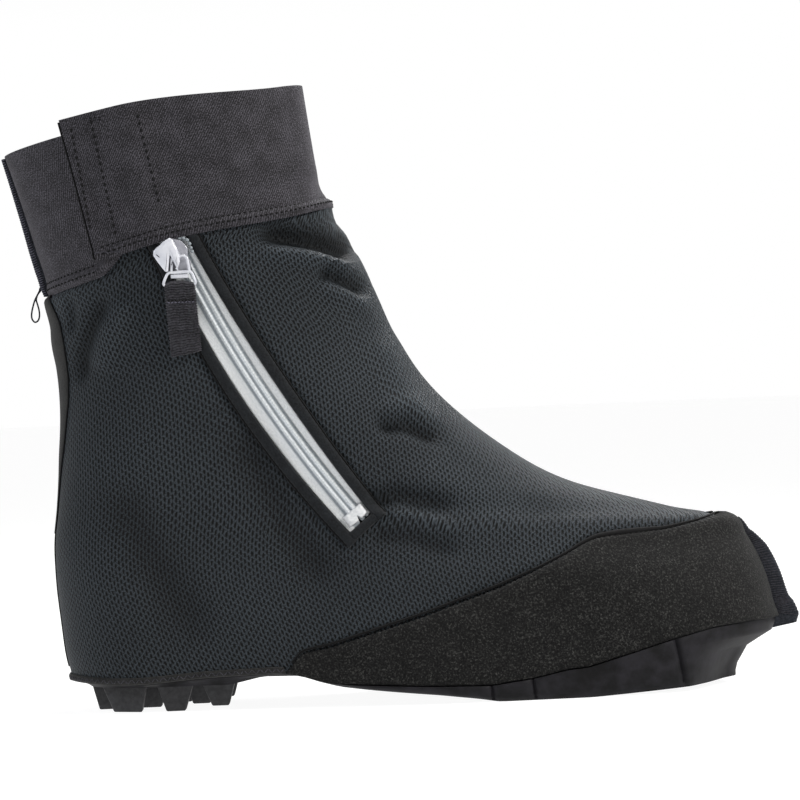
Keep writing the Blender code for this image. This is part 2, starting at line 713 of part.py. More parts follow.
def make_cuff(finish):
    """One band, wrapped once around the shaft from its start at the zip, ending as the flap over its start."""
    full = 2 * math.pi
    step = full / TURNS
    turns = [BAND_START]
    index = math.floor(BAND_START / step)
    while index * step > FLAP_END - full + step / 3:
        if abs(index * step - BAND_START) > step / 4:
            turns.append(index * step)
        index -= 1
    turns.append(FLAP_END - full)
    turns = np.array(turns)
    around = turns + full
    flap = smoothstep((FLAP_STEP_START - around) / (FLAP_STEP_START - FLAP_STEP_END)) * (turns < 0)
    lift = np.where(turns < -math.pi, flap_lift(around), 0.0)
    steps = np.linspace(COLLAR_ROW, TOP_ROW, CUFF_LEVELS)
    rows = steps[:, None] + lift[None, :]
    inner = GAP + flap * (CUFF_THICKNESS + GAP)
    return shell("cuff_band", turns, rows, inner[None, :], inner[None, :] + CUFF_THICKNESS, finish)


def make_fin(name, stations, finish):
    """A seam standing on edge: stations give inner and outer points of its middle, in the side view."""
    half = SEAM_THICKNESS / 2
    points, faces = [], []
    for inner, outer in stations:
        for point in (inner, outer):
            for side in (-half, half):
                points.append(Vector((point[0], point[1] + side, point[2])))
    for station in range(len(stations) - 1):
        a = 4 * station
        b = a + 4
        for first, second in ((0, 1), (1, 3), (3, 2), (2, 0)):
            faces.append((a + first, a + second, b + second, b + first))
    end = 4 * (len(stations) - 1)
    faces.append((0, 2, 3, 1))
    faces.append((end, end + 1, end + 3, end + 2))
    return new_object(name, closed_mesh(name, points, faces), finish)


def make_back_seam(finish):
    stations = []
    base = 3 * GAP + CUFF_THICKNESS
    for step in BACK_SEAM:
        inner = skin(0.0, step.row, base)
        outer = inner + normal(0.0, step.row) * step.depth * CUFF_SEAM_DEPTH
        stations.append((inner, outer))
    return make_fin("back_seam", stations, finish)


def make_toe_seam(finish):
    stations = []
    base = 2.5 * GAP + RAND_THICKNESS
    for step in TOE_SEAM:
        inner = skin(math.pi, step.row, base)
        outer = inner + normal(math.pi, step.row) * step.depth * TOE_SEAM_DEPTH
        stations.append((inner, outer))
    rear, tip = (np.array(point) for point in stations[-1])
    below = np.array((-TOE_SEAM_SETBACK * TOE_SEAM_DEPTH, 0, -TOE_SEAM_DROP))
    stations.append((rear + below, tip + below))
    return make_fin("toe_seam", stations, finish)


def make_rand(finish):
    rows = [row for row in LEVELS if row <= RAND_TOP_ROW]
    rand = shell("toe_rand", all_turns(), rows, GAP, GAP + RAND_THICKNESS, finish, ring=True)
    outline = [(p.x * COVER_LENGTH, p.z * TOE_HEIGHT) for p in RAND_SEAM]
    beyond = 1.2 * COVER_LENGTH
    outline += [(beyond, outline[-1][1]), (beyond, -TOE_HEIGHT), (outline[0][0], -TOE_HEIGHT)]
    return combine(rand, side_cutter("rand_outline", outline, *BOTH_SIDES), "INTERSECT")


def make_heel_hem(finish):
    hem = shell("heel_hem", all_turns(), LEVELS[:3], GAP, GAP + HEM_THICKNESS, finish, ring=True)
    rear = -0.1 * COVER_LENGTH
    stop = RAND_SEAM[0].x * COVER_LENGTH - 2 * GAP
    outline = [(rear, -SOLE_HEIGHT), (rear, SOLE_HEIGHT * HEM_LINE[0].z + HEM_WIDTH)]
    for point in HEM_LINE:
        if point.x * COVER_LENGTH < stop:
            outline.append((point.x * COVER_LENGTH, point.z * SOLE_HEIGHT + HEM_WIDTH))
    outline += [(stop, outline[-1][1]), (stop, -SOLE_HEIGHT)]
    return combine(hem, side_cutter("hem_outline", outline, *BOTH_SIDES), "INTERSECT")


def make_back_tape(finish):
    turns = [turn - 2 * math.pi if turn > math.pi else turn for turn in all_turns()]
    near_back = sorted(turn for turn in turns if abs(turn) < TAPE_REACH)
    rows = [row for row in LEVELS if TAPE_LOW_ROW <= row <= COLLAR_ROW]
    tape = shell("back_tape", near_back, rows, GAP, GAP + TAPE_THICKNESS, finish)
    outline = [(p.x * SHAFT_DEPTH, p.z * COLLAR_BACK) for p in BACK_TAPE]
    outline += [(-SHAFT_DEPTH, outline[-1][1]), (-SHAFT_DEPTH, outline[0][1])]
    combine(tape, side_cutter("back_tape_outline", outline, *BOTH_SIDES), "INTERSECT")
    return combine(tape, bpy.data.objects["below_cuff"], "INTERSECT")


def zip_layer(name, inner, outer, finish):
    """The outer side between two offsets, from just under the cuff's edge to the toe's height."""
    rows = [row for row in LEVELS if row >= ZIP_LOW_ROW] + [COLLAR_ROW + ZIP_HEAD_ROWS]
    return shell(name, side_turns(), rows, inner, outer, finish)


def make_zip(finishes):
    _, _, length = zip_line(0.0)
    end = 1.0
    tape_top = -ZIP_TAPE_DEPTH
    tape = zip_layer("zip_tape", tape_top - ZIP_TAPE_THICKNESS, tape_top, finishes["tape"])
    tape_outline = zip_strip(ZIP_HEAD, end - GAP / length, SLOT_MARGIN - GAP)
    combine(tape, side_cutter("tape_outline", tape_outline, *OUTER_SIDE), "INTERSECT")

    welt = zip_layer("zip_welt", GAP, GAP + WELT_THICKNESS, finishes["welt"])
    welt_outline = zip_strip(ZIP_HEAD, end + WELT_END / length, WELT_WIDTH)
    combine(welt, side_cutter("welt_outline", welt_outline, *OUTER_SIDE), "INTERSECT")
    opening = zip_strip(OPENING_HEAD, end - SLOT_MARGIN / 2 / length, 0.0)
    combine(welt, side_cutter("welt_opening", opening, *OUTER_SIDE), "DIFFERENCE")
    combine(welt, bpy.data.objects["below_cuff"], "INTERSECT")

    coil_low = tape_top + GAP
    coil_high = coil_low + COIL_THICKNESS
    coil = zip_layer("zip_coil", coil_low, coil_high, finishes["coil"])
    stop_start = end - (STOP_LENGTH + 2 * SLOT_MARGIN) / length
    coil_outline = zip_strip(ZIP_HEAD, stop_start - GAP / length, 0.0, COIL_WIDTH)
    combine(coil, side_cutter("coil_outline", coil_outline, *OUTER_SIDE), "INTERSECT")
    combine(coil, bpy.data.objects["below_cuff"], "INTERSECT")

    stop = zip_layer("zip_stop", coil_low, coil_high + SLOT_MARGIN, finishes["stop"])
    stop_outline = zip_strip(stop_start, stop_start + STOP_LENGTH / length, 0.0, STOP_WIDTH)
    combine(stop, side_cutter("stop_outline", stop_outline, *OUTER_SIDE), "INTERSECT")
    return coil_high


def slider_frame():
    """Origin on the surface, then the directions down the zip, across it and outwards, at the slider."""
    point, heading, _ = zip_line(SLIDER_PLACE)
    turn, row = place(*point)
    origin = surface(turn, row)
    out = normal(turn, row)
    down = np.array((heading[0], 0.0, heading[1]))
    down = down - out * np.dot(down, out)
    down /= np.linalg.norm(down)
    across = np.cross(out, down)
    return origin, down, across, out


def extrude_outline(shape, outline, start, end):
    """Adds a prism whose outline is a list of points, drawn from one offset vector to another."""
    face = shape.faces.new([shape.verts.new(Vector(point + start)) for point in outline])
    drawn = bmesh.ops.extrude_face_region(shape, geom=[face])
    moved = [item for item in drawn["geom"] if isinstance(item, bmesh.types.BMVert)]
    bmesh.ops.translate(shape, verts=moved, vec=Vector(end - start))


def make_slider(base, finish):
    """The slider's plate with its side rails and the crown that the pull hangs from."""
    origin, down, across, out = slider_frame()
    half = SLIDER_LENGTH / 2
    wide, tip = SLIDER_WIDTH / 2, SLIDER_TIP / 2
    low = base + GAP
    side = [(p.x * half, p.z * wide) for p in SLIDER_SHOULDER] + [(p.x * half, p.z * tip) for p in SLIDER_TAIL]
    plate = side + [(a, -b) for a, b in reversed(side)]
    shape = bmesh.new()
    outline = [origin + down * a + across * b for a, b in plate]
    extrude_outline(shape, outline, out * low, out * (low + SLIDER_PLATE))
    slider = new_object("zip_slider", finished_mesh("zip_slider", shape), finish, smooth=False)

    foot = low + SLIDER_PLATE / 2
    ceiling = low + SLIDER_PLATE + CROWN_HEIGHT - CROWN_BAR
    roof = ceiling + CROWN_BAR
    reach = CROWN_REACH * SLIDER_LENGTH
    span = CROWN_SPAN * SLIDER_LENGTH
    crown = ((-reach, foot), (-reach, ceiling), (ROOF_START * reach, roof), (ROOF_END * reach, roof),
             (reach, ceiling - CROWN_BAR), (reach, foot), (span, foot), (span, ceiling), (-span, ceiling),
             (-span, foot))
    shape = bmesh.new()
    outline = [origin + down * a + out * b for a, b in crown]
    side = across * CROWN_WIDTH / 2
    extrude_outline(shape, outline, -side, side)
    combine(slider, hidden("crown", finished_mesh("crown", shape)), "UNION")
    return origin + out * ((low + SLIDER_PLATE + ceiling) / 2)


def make_pull(axis_point, parent, finishes):
    """The wire bail, hanging straight down from the crown, and the webbing tab folded over its lower bar."""
    pivot = bpy.data.objects.new("pull_pivot", None)
    bpy.context.collection.objects.link(pivot)
    pivot.parent = parent
    pivot.location = Vector(axis_point)

    top, low = PULL_TOP_WIDTH / 2, PULL_WIDTH / 2
    wire = bpy.data.curves.new("pull_ring", "CURVE")
    wire.dimensions = "3D"
    wire.bevel_depth = WIRE_RADIUS
    wire.bevel_resolution = 2
    corners = ((-top, 0.0), (top, 0.0), (low, -PULL_DROP), (-low, -PULL_DROP))
    path = []
    for index, corner in enumerate(corners):
        here = np.array(corner)
        before = np.array(corners[index - 1]) - here
        after = np.array(corners[(index + 1) % 4]) - here
        before = before / np.linalg.norm(before) * WIRE_BEND
        after = after / np.linalg.norm(after) * WIRE_BEND
        for step in range(5):
            part = step / 4
            path.append(here + before * (1 - part) ** 2 + after * part**2)
    spline = wire.splines.new("POLY")
    spline.points.add(len(path) - 1)
    for point, (x, z) in zip(spline.points, path):
        point.co = (x, 0.0, z, 1.0)
    spline.use_cyclic_u = True
    wire.materials.append(finishes["wire"])
    ring = bpy.data.objects.new("pull_ring", wire)
    bpy.context.collection.objects.link(ring)
    ring.parent = pivot

    fold = WIRE_RADIUS + GAP + TAB_THICKNESS / 2
    profile = [(-TAB_THICKNESS / 2, -FOLD_SHARE * TAB_LENGTH)]
    for step in range(9):
        angle = math.pi * (1.0 - step / 8)
        profile.append((fold * math.cos(angle), fold * math.sin(angle) * FOLD_ROUND))
    profile.append((TAB_THICKNESS / 2, -FOLD_SHARE * TAB_LENGTH))
    profile.append((TAB_THICKNESS / 2 + TAB_LEAN, -TAB_LENGTH + fold))
    profile.append((-TAB_THICKNESS / 2 + TAB_LEAN, -TAB_LENGTH + fold))
    shape = bmesh.new()
    outline = [np.array((-TAB_WIDTH / 2, y, z - PULL_DROP)) for y, z in profile]
    extrude_outline(shape, outline, np.zeros(3), np.array((TAB_WIDTH, 0.0, 0.0)))
    tab = new_object("pull_tab", finished_mesh("pull_tab", shape), finishes["webbing"])
    tab.parent = pivot
    hole = bmesh.new()
    bmesh.ops.create_cone(hole, cap_ends=True, segments=12, radius1=WIRE_RADIUS + GAP, radius2=WIRE_RADIUS + GAP,
                          depth=2 * TAB_WIDTH)
    bmesh.ops.rotate(hole, verts=hole.verts, matrix=Matrix.Rotation(math.pi / 2, 3, "Y"))
    bmesh.ops.translate(hole, verts=hole.verts, vec=(0, 0, -PULL_DROP))
    cutter = hidden("tab_hole", finished_mesh("tab_hole", hole))
    cutter.parent = pivot
    combine(tab, cutter, "DIFFERENCE")


def centre_over_origin(root):
    """Moves the whole shoe so that its box is centred over the origin, standing on z = 0."""
    bpy.context.view_layer.update()
    graph = bpy.context.evaluated_depsgraph_get()
    low, high = Vector((1e9, 1e9, 1e9)), Vector((-1e9, -1e9, -1e9))
    for item in bpy.data.objects:
        if item.type not in {"MESH", "CURVE"} or item.hide_render:
            continue
        seen = item.evaluated_get(graph)
        mesh = seen.to_mesh()
        for vertex in mesh.vertices:
            place_now = seen.matrix_world @ vertex.co
            low = Vector(map(min, low, place_now))
            high = Vector(map(max, high, place_now))
        seen.to_mesh_clear()
    root.location = (-(low.x + high.x) / 2, -(low.y + high.y) / 2, -low.z)


def build():
    clear_scene()
    knit = material("stretch_knit", (0.016, 0.018, 0.021), 0.85)
    rand_cloth = material("coated_neoprene", (0.018, 0.017, 0.015), 0.75)
    elastic = material("woven_elastic", (0.022, 0.021, 0.024), 0.8)
    trim = material("seam_tape", (0.020, 0.020, 0.019), 0.8)
    overlock = material("overlock_thread", (0.028, 0.028, 0.034), 0.85)
    rubber = material("sole_rubber", (0.030, 0.029, 0.031), 0.6)
    lining = material("insole_felt", (0.040, 0.040, 0.042), 0.9)
    white_tape = material("zip_tape_white", (0.62, 0.64, 0.66), 0.8)
    white_plastic = material("white_nylon", (0.78, 0.79, 0.80), 0.4)
    white_metal = material("white_lacquer", (0.80, 0.81, 0.83), 0.3)
    webbing = material("ribbed_webbing", (0.014, 0.014, 0.015), 0.8)

    root = bpy.data.objects.new("shoe_root", None)
    bpy.context.collection.objects.link(root)
    side_cutter("below_cuff", below_cuff(), *BOTH_SIDES)
    make_outsole(rubber)
    make_insole(lining)
    make_upper(knit)
    make_rand(rand_cloth)
    make_heel_hem(trim)
    make_cuff(elastic)
    make_back_seam(overlock)
    make_toe_seam(overlock)
    make_back_tape(trim)
    coil_top = make_zip({"tape": white_tape, "welt": trim, "coil": white_plastic, "stop": white_plastic})
    axis_point = make_slider(coil_top, white_metal)
    for item in bpy.data.objects:
        if item is not root:
            item.parent = root
    make_pull(axis_point, root, {"wire": white_metal, "webbing": webbing})
    centre_over_origin(root)


build()
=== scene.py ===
import math

import bmesh
import bpy
import numpy as np
from mathutils import Matrix, Vector


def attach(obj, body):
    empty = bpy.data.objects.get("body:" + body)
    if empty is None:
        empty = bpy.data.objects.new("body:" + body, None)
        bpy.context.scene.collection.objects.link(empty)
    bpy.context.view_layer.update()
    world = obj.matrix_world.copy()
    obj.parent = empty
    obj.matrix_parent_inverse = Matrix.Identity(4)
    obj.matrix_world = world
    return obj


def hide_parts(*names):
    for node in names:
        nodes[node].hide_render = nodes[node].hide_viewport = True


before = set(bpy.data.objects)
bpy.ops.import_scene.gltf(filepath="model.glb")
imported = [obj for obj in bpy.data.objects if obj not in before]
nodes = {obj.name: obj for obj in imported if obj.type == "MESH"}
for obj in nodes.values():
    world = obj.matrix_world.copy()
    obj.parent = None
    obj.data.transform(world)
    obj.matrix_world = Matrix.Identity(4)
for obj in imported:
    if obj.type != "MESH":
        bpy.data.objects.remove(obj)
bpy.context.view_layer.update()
place = Vector((-0.150531, -0.00389, 0.0))  # from the shoe's own axes (heel back, floor) to the row frame
fullTurn = 2 * math.pi
print("frame loaded")

# The cover's form, with the CAD part's sizes in metres
shoe = {
    "length": 0.308, "ball": 0.108, "heel": 0.078, "toeHeight": 0.073, "instep": 0.108,
    "shaftDepth": 0.120, "shaftWidth": 0.086, "collarBack": 0.1803, "collarFront": 0.212,
    "cuffBack": 0.059, "cuffFront": 0.051, "swing": 0.008, "innerWaist": 0.005, "outerWaist": 0.002,
    "soleHeight": 0.0135, "toeEdge": 0.028, "gap": 0.0003,
    "footRings": 9, "collarRow": 13.0, "topRow": 16.0,
}
# back level, front level, back x, front x, half rear, half front, round rear, round front, waist
ringTable = (
    (0.00, 0.00, 0.042, 0.999, 0.494, 0.485, 0.54, 0.247, 1.00),
    (0.18, 0.13, 0.025, 0.992, 0.506, 0.491, 0.54, 0.253, 1.00),
    (0.38, 0.36, 0.013, 0.984, 0.519, 0.481, 0.54, 0.273, 0.85),
    (0.61, 0.58, 0.003, 0.973, 0.526, 0.463, 0.54, 0.308, 0.55),
    (0.81, 0.77, 0.000, 0.959, 0.526, 0.435, 0.55, 0.357, 0.25),
    (1.00, 0.97, 0.000, 0.940, 0.519, 0.412, 0.58, 0.396, 0.00),
    (1.37, 1.13, 0.012, 0.851, 0.513, 0.394, 0.59, 0.422, 0.00),
    (1.71, 1.48, 0.023, 0.719, 0.506, 0.389, 0.60, 0.299, 0.00),
    (2.00, 2.00, 0.031, 0.617, 0.506, 0.389, 0.62, 0.240, 0.00),
    (2.18, 2.21, 0.041, 1.383, 0.465, 0.488, 0.42, 0.567, 0.00),
    (2.35, 2.43, 0.042, 1.254, 0.471, 0.488, 0.45, 0.550, 0.00),
    (2.53, 2.65, 0.036, 1.171, 0.477, 0.488, 0.48, 0.517, 0.00),
    (2.71, 2.86, 0.024, 1.096, 0.483, 0.488, 0.49, 0.500, 0.00),
    (3.00, 3.00, 0.030, 0.992, 0.483, 0.483, 0.50, 0.500, 0.00),
    (3.33, 3.33, -0.008, 0.967, 0.488, 0.488, 0.50, 0.500, 0.00),
    (3.67, 3.67, -0.048, 0.946, 0.494, 0.494, 0.50, 0.500, 0.00),
    (4.00, 4.00, -0.088, 0.927, 0.500, 0.500, 0.50, 0.500, 0.00),
)
# Heights along the foot: share of the length, share of the sole's height
hemTable = (
    (0.016, 0.99), (0.080, 0.90), (0.124, 0.91), (0.207, 1.05), (0.309, 1.12), (0.336, 1.03), (0.375, 0.76),
    (0.422, 0.70), (0.508, 0.59), (0.594, 0.54), (0.650, 0.69), (0.702, 0.93), (0.724, 0.95), (0.768, 1.22),
    (0.842, 1.68), (0.900, 1.97), (0.960, 2.07), (1.000, 2.07),
)
soleTable = (
    (0.000, 0.78), (0.240, 0.78), (0.285, 1.00), (0.335, 0.98), (0.363, 0.76), (0.390, 0.61), (0.470, 0.40),
    (0.525, 0.27), (0.578, 0.11), (0.605, 0.00), (0.730, 0.00), (0.795, 0.08), (0.877, 0.18), (0.930, 0.22),
    (1.000, 0.22),
)
randTable = (  # upper seam of the rand: share of the length, share of the toe's height
    (0.318, 0.20), (0.338, 0.315), (0.381, 0.345), (0.446, 0.425), (0.512, 0.505), (0.556, 0.570), (0.608, 0.641),
    (0.661, 0.733), (0.705, 0.815), (0.728, 0.868), (0.745, 0.897), (0.779, 0.912), (0.841, 0.927), (0.889, 0.962),
    (0.930, 1.000), (0.965, 1.060),
)


def smoothstep(value):
    part = np.clip(value, 0.0, 1.0)
    return part * part * (3 - 2 * part)


def bell(value, width):
    return np.exp(-(value / width) ** 2)


def smoothLine(points, blur=0.008):
    shares = np.linspace(-0.1, 1.1, 601)
    heights = np.interp(shares, *zip(*points))
    weights = bell(np.arange(-20, 21) * (shares[1] - shares[0]), blur)
    return shares, np.convolve(np.pad(heights, 20, mode="edge"), weights / weights.sum(), mode="valid")


hemLine = smoothLine(hemTable)
soleLine = smoothLine(soleTable, 0.005)
randLine = smoothLine(randTable)


def lineHeight(line, x, unit):
    return shoe[unit] * np.interp(x / shoe["length"], *line)


def ringValues():
    backs = (shoe["soleHeight"], shoe["toeHeight"], shoe["instep"], shoe["collarBack"],
             shoe["collarBack"] + shoe["cuffBack"])
    fronts = (shoe["toeEdge"], shoe["toeHeight"], shoe["instep"], shoe["collarFront"],
              shoe["collarFront"] + shoe["cuffFront"])
    table = []
    for index, row in enumerate(ringTable):
        foot = index < shoe["footRings"]
        long = shoe["length"] if foot else shoe["shaftDepth"]
        rear = shoe["heel"] if foot else shoe["shaftWidth"]
        front = shoe["ball"] if foot else shoe["shaftWidth"]
        table.append((
            row[2] * shoe["shaftDepth"], np.interp(row[0], range(5), backs), row[3] * long,
            np.interp(row[1], range(5), fronts), row[4] * rear, row[5] * front,
            row[6] * (shoe["heel"] if foot else shoe["shaftDepth"]), row[7] * long, row[8],
        ))
    return np.array(table)


rings = ringValues()


def ringAt(row):
    first = np.clip(np.floor(row).astype(int), 0, len(rings) - 2)
    padded = np.vstack((2 * rings[0] - rings[1], rings, 2 * rings[-1] - rings[-2]))
    before, start, end, after = (padded[first + step] for step in range(4))
    part = (row - first)[..., None]
    t = np.clip(part, 0.0, 1.0)
    leave, arrive = (end - before) / 2, (after - start) / 2
    curve = ((2 * t**3 - 3 * t**2 + 1) * start + (t**3 - 2 * t**2 + t) * leave
             + (3 * t**2 - 2 * t**3) * end + (t**3 - t**2) * arrive)
    return curve + np.where(part > 1, (part - 1) * arrive, 0) + np.where(part < 0, part * leave, 0)


def centreLine(x):
    return shoe["swing"] * smoothstep((x / shoe["length"] - 0.35) / 0.65)


def surfaceAt(turn, row):
    # turn is 0 at the back and pi at the front, with the outer side between
    # row 0 is the hem, 13 the collar and 16 the cuff's top
    turn, row = np.broadcast_arrays(np.asarray(turn, float), np.asarray(row, float))
    backX, backZ, frontX, frontZ, rear, front, roundRear, roundFront, waist = np.moveaxis(ringAt(row), -1, 0)
    along = (1 - np.cos(turn)) / 2
    x = backX + along * (frontX - backX)
    z = backZ + along * (frontZ - backZ)
    ahead = (x - rings[0][0]) / (rings[0][2] - rings[0][0])
    flat = shoe["soleHeight"] + (shoe["toeEdge"] - shoe["soleHeight"]) * ahead
    z = z + smoothstep(1 - row / 3.2) * (lineHeight(hemLine, x, "soleHeight") - flat)
    outer = np.sin(turn) > 0
    share = x / shoe["length"]
    grow = np.where(outer, smoothstep((share - 0.15) / 0.42), smoothstep((share - 0.25) / 0.42))
    dip = np.where(outer, shoe["outerWaist"], shoe["innerWaist"]) * bell(share - 0.40, 0.115)
    half = rear + (front - rear) * grow - waist * dip
    rearEnd = np.clip(1 - (x - backX) / roundRear, 0, 1)
    frontEnd = np.clip(1 - (frontX - x) / roundFront, 0, 1)
    half = half * np.sqrt(np.maximum(1 - rearEnd**2, 0)) * np.sqrt(np.maximum(1 - frontEnd**2, 0))
    return np.stack((x, centreLine(x) + np.where(outer, -half, half), z), axis=-1)


def normalAt(turn, row):
    turn, row = np.broadcast_arrays(np.asarray(turn, float), np.asarray(row, float))
    around = surfaceAt(turn + 0.003, row) - surfaceAt(turn - 0.003, row)
    upward = surfaceAt(turn, row + 0.003) - surfaceAt(turn, row - 0.003)
    out = np.cross(around, upward)
    out[..., 2] *= np.clip(row / 0.5, 0, 1)
    return out / np.linalg.norm(out, axis=-1, keepdims=True)


# The cloth's folds: points of the side view in mm from the heel's back and the floor, depth in mm, where out is
# positive, and width in mm
outerFolds = (
    ("wedge under the cuff", ((91, 200.6), (107, 198.8), (119.4, 196.2), (129.7, 192.3), (135, 188.6)), -5.0, 4.6),
    ("lip below the wedge", ((92, 192.5), (110.9, 190), (125.4, 186.3), (133, 182.8)), 2.3, 3.4),
    ("second crease", ((117, 184.2), (129.2, 178.8), (139, 172.4)), -2.9, 3.0),
    ("lip below it", ((118, 177.6), (130.2, 172.2), (139, 166.6)), 1.3, 3.8),
    ("back trough", ((29.6, 177.3), (21.5, 163.9), (16.5, 152.1), (15, 139)), -2.3, 3.5),
    ("back ridge", ((39, 174.8), (30.5, 161.6), (25, 143)), 1.2, 5.2),
    ("small back trough", ((13.2, 177.3), (12.4, 161)), -1.4, 2.2),
    ("ankle crease", ((139, 116.2), (151.7, 117), (168, 108.3)), -2.3, 3.0),
    ("ankle swell", ((141, 124), (153, 124), (168, 115)), 1.2, 4.5),
    ("fold from the zip's end", ((131.5, 85), (148.2, 87.5), (173, 81.4)), -2.0, 4.0),
    ("swell between the folds", ((134, 79.6), (151, 79), (172, 72)), 0.8, 3.6),
    ("lower fold from the zip's end", ((133.2, 73.0), (151.9, 70.1), (174, 62.5)), -1.6, 4.2),
    ("heel hollow", ((27.5, 98.8), (42.8, 64.7), (66, 27)), -1.7, 10.0),
    ("side hollow", ((80, 121.4), (100, 78.7), (118, 50)), -1.8, 9.0),
    ("vamp swell", ((150, 100), (176, 88), (205, 74)), 0.9, 9.0),
    ("throat swell", ((142.9, 156.7), (148.3, 135.5), (160, 118.4)), 1.0, 7.0),
)
innerFolds = (
    ("wedge under the cuff", ((90, 201), (106, 197), (121, 191), (133, 186)), -3.6, 5.0),
    ("lip below the wedge", ((92, 193), (109, 189), (124, 184), (136, 178)), 1.6, 3.4),
    ("ankle fold", ((28, 132), (62, 124), (96, 128), (124, 138)), -1.9, 5.0),
    ("ankle ridge", ((32, 124), (62, 116), (98, 119), (128, 128)), 1.2, 4.6),
    ("instep crease", ((118, 112), (142, 110), (168, 106)), -1.7, 3.6),
    ("arch fold", ((92, 66), (128, 70), (168, 64)), -1.4, 6.0),
    ("heel hollow", ((24, 92), (40, 60), (64, 30)), -1.3, 9.0),
    ("back trough", ((24, 172), (17, 152), (15, 138)), -1.4, 3.6),
)


def foldSum(folds, x, z):
    total = np.zeros_like(x)
    for _, points, depth, width in folds:
        line = np.array(points) / 1000
        best = np.full(x.shape, 9.0)
        along = np.zeros_like(x)
        for index, (start, end) in enumerate(zip(line[:-1], line[1:])):
            run = end - start
            part = np.clip(((x - start[0]) * run[0] + (z - start[1]) * run[1]) / (run @ run), 0, 1)
            away = np.hypot(x - start[0] - part * run[0], z - start[1] - part * run[1])
            closer = away < best
            best = np.where(closer, away, best)
            along = np.where(closer, (index + part) / (len(line) - 1), along)
        taper = smoothstep(along * 4 + 0.15) * smoothstep((1 - along) * 4 + 0.15)
        total += depth / 1000 * bell(best * 1000, width) * taper
    return total


foldSizes = {
    "strength": 1.45, "unevenness": 0.00045, "back": 0.0034, "backStart": 12.15, "front": 0.0048,
    "frontStart": 12.35,
}


def foldAt(turn, row):
    turn, row = np.broadcast_arrays(np.asarray(turn, float), np.asarray(row, float))
    point = surfaceAt(turn, row)
    x, z = point[..., 0], point[..., 2]
    outer = smoothstep(0.5 + np.sin(turn) * 2.5)
    folds = foldSum(outerFolds, x, z) * outer + foldSum(innerFolds, x, z) * (1 - outer)
    soft = np.sin(x * 61 + z * 37 + 1.3) * np.sin(z * 83 - x * 29 + 0.4)  # slow unevenness of stretched cloth
    total = foldSizes["strength"] * folds + foldSizes["unevenness"] * soft
    total = total * smoothstep(row / 1.5) * smoothstep((shoe["collarRow"] + 0.2 - row) / 0.6)
    # the cuff pulls in, and the knit swells out below it
    low = smoothstep((shoe["collarRow"] - 0.02 - row) / 0.22)
    back = foldSizes["back"] * bell(np.sin(turn / 2), 0.30) * smoothstep((row - foldSizes["backStart"]) / 0.7)
    front = foldSizes["front"] * bell(np.cos(turn / 2), 0.28) * smoothstep((row - foldSizes["frontStart"]) / 0.55)
    return total + (back + front) * low


def skinAt(turn, row, out=0.0, folds=True):
    turn, row = np.broadcast_arrays(np.asarray(turn, float), np.asarray(row, float))
    rise = np.broadcast_to(np.asarray(out, float), turn.shape) + (foldAt(turn, row) if folds else 0.0)
    return surfaceAt(turn, row) + normalAt(turn, row) * rise[..., None]


def findRow(isBelow, shape, top, steps=26):
    # halves the range of rows until it holds the row where isBelow ends
    low, high = np.zeros(shape), np.full(shape, top)
    for _ in range(steps):
        row = (low + high) / 2
        below = isBelow(row)
        low, high = np.where(below, row, low), np.where(below, high, row)
    return row


def turnRowAt(x, z, top=16.0):
    # where the side view shows x, z on the outer side
    x, z = np.broadcast_arrays(np.asarray(x, float), np.asarray(z, float))

    def turnAt(row):
        values = ringAt(row)
        return np.arccos(1 - 2 * np.clip((x - values[..., 0]) / (values[..., 2] - values[..., 0]), 0, 1))

    row = findRow(lambda row: surfaceAt(turnAt(row), row)[..., 2] < z, x.shape, top)
    return turnAt(row), row


# The zip's line in the side view
zipSizes = {
    "top": (0.504, 0.905), "end": (1.097, 0.359), "bow": 0.0045, "widthEnds": 0.0118, "widthMiddle": 0.0150,
    "slider": 0.012, "weltWidth": 0.0048, "weltEnd": 0.0040, "stopLength": 0.0045, "pitch": 0.00128,
    "coilShift": 0.0006,
}


zipTop = np.array(zipSizes["top"]) * (shoe["shaftDepth"], shoe["collarFront"])
zipRun = np.array(zipSizes["end"]) * (shoe["shaftDepth"], shoe["collarFront"]) - zipTop
zipLength = float(np.linalg.norm(zipRun))
zipAcross = np.array((zipRun[1], -zipRun[0])) / zipLength


def zipPoint(share, offset):
    # a spot of the side view, from the share along the zip and the offset to the heel's side of its line
    share, offset = np.broadcast_arrays(np.asarray(share, float), np.asarray(offset, float))
    heading = zipRun + zipAcross * (zipSizes["bow"] * 4 * (1 - 2 * share))[..., None]
    heading = heading / np.linalg.norm(heading, axis=-1, keepdims=True)
    side = np.stack((heading[..., 1], -heading[..., 0]), axis=-1)
    bow = zipSizes["bow"] * 4 * share * (1 - share)
    return zipTop + zipRun * share[..., None] + zipAcross * bow[..., None] + side * offset[..., None]


def zipHalf(share):
    swell = np.sin(np.pi * np.clip(share, 0, 1))
    return (zipSizes["widthEnds"] + (zipSizes["widthMiddle"] - zipSizes["widthEnds"]) * swell) / 2


def zipPlace(x, z):
    # the share and offset of a spot of the side view
    share = ((x - zipTop[0]) * zipRun[0] + (z - zipTop[1]) * zipRun[1]) / (zipRun @ zipRun)
    offset = (x - zipTop[0]) * zipAcross[0] + (z - zipTop[1]) * zipAcross[1]
    return share, offset - zipSizes["bow"] * 4 * share * (1 - share)


def zipTurnRow(shares, offsets):
    points = zipPoint(shares, offsets)
    return turnRowAt(points[..., 0], points[..., 1])


def zipSheet(shares, offsets, out):
    # points of a strip along the zip; out may vary over the strip
    return skinAt(*zipTurnRow(shares, offsets), out)


# Materials
def hexColour(value):
    channels = [int(value[i:i + 2], 16) / 255 for i in (1, 3, 5)]
    return [c / 12.92 if c <= 0.04045 else ((c + 0.055) / 1.055) ** 2.4 for c in channels] + [1.0]


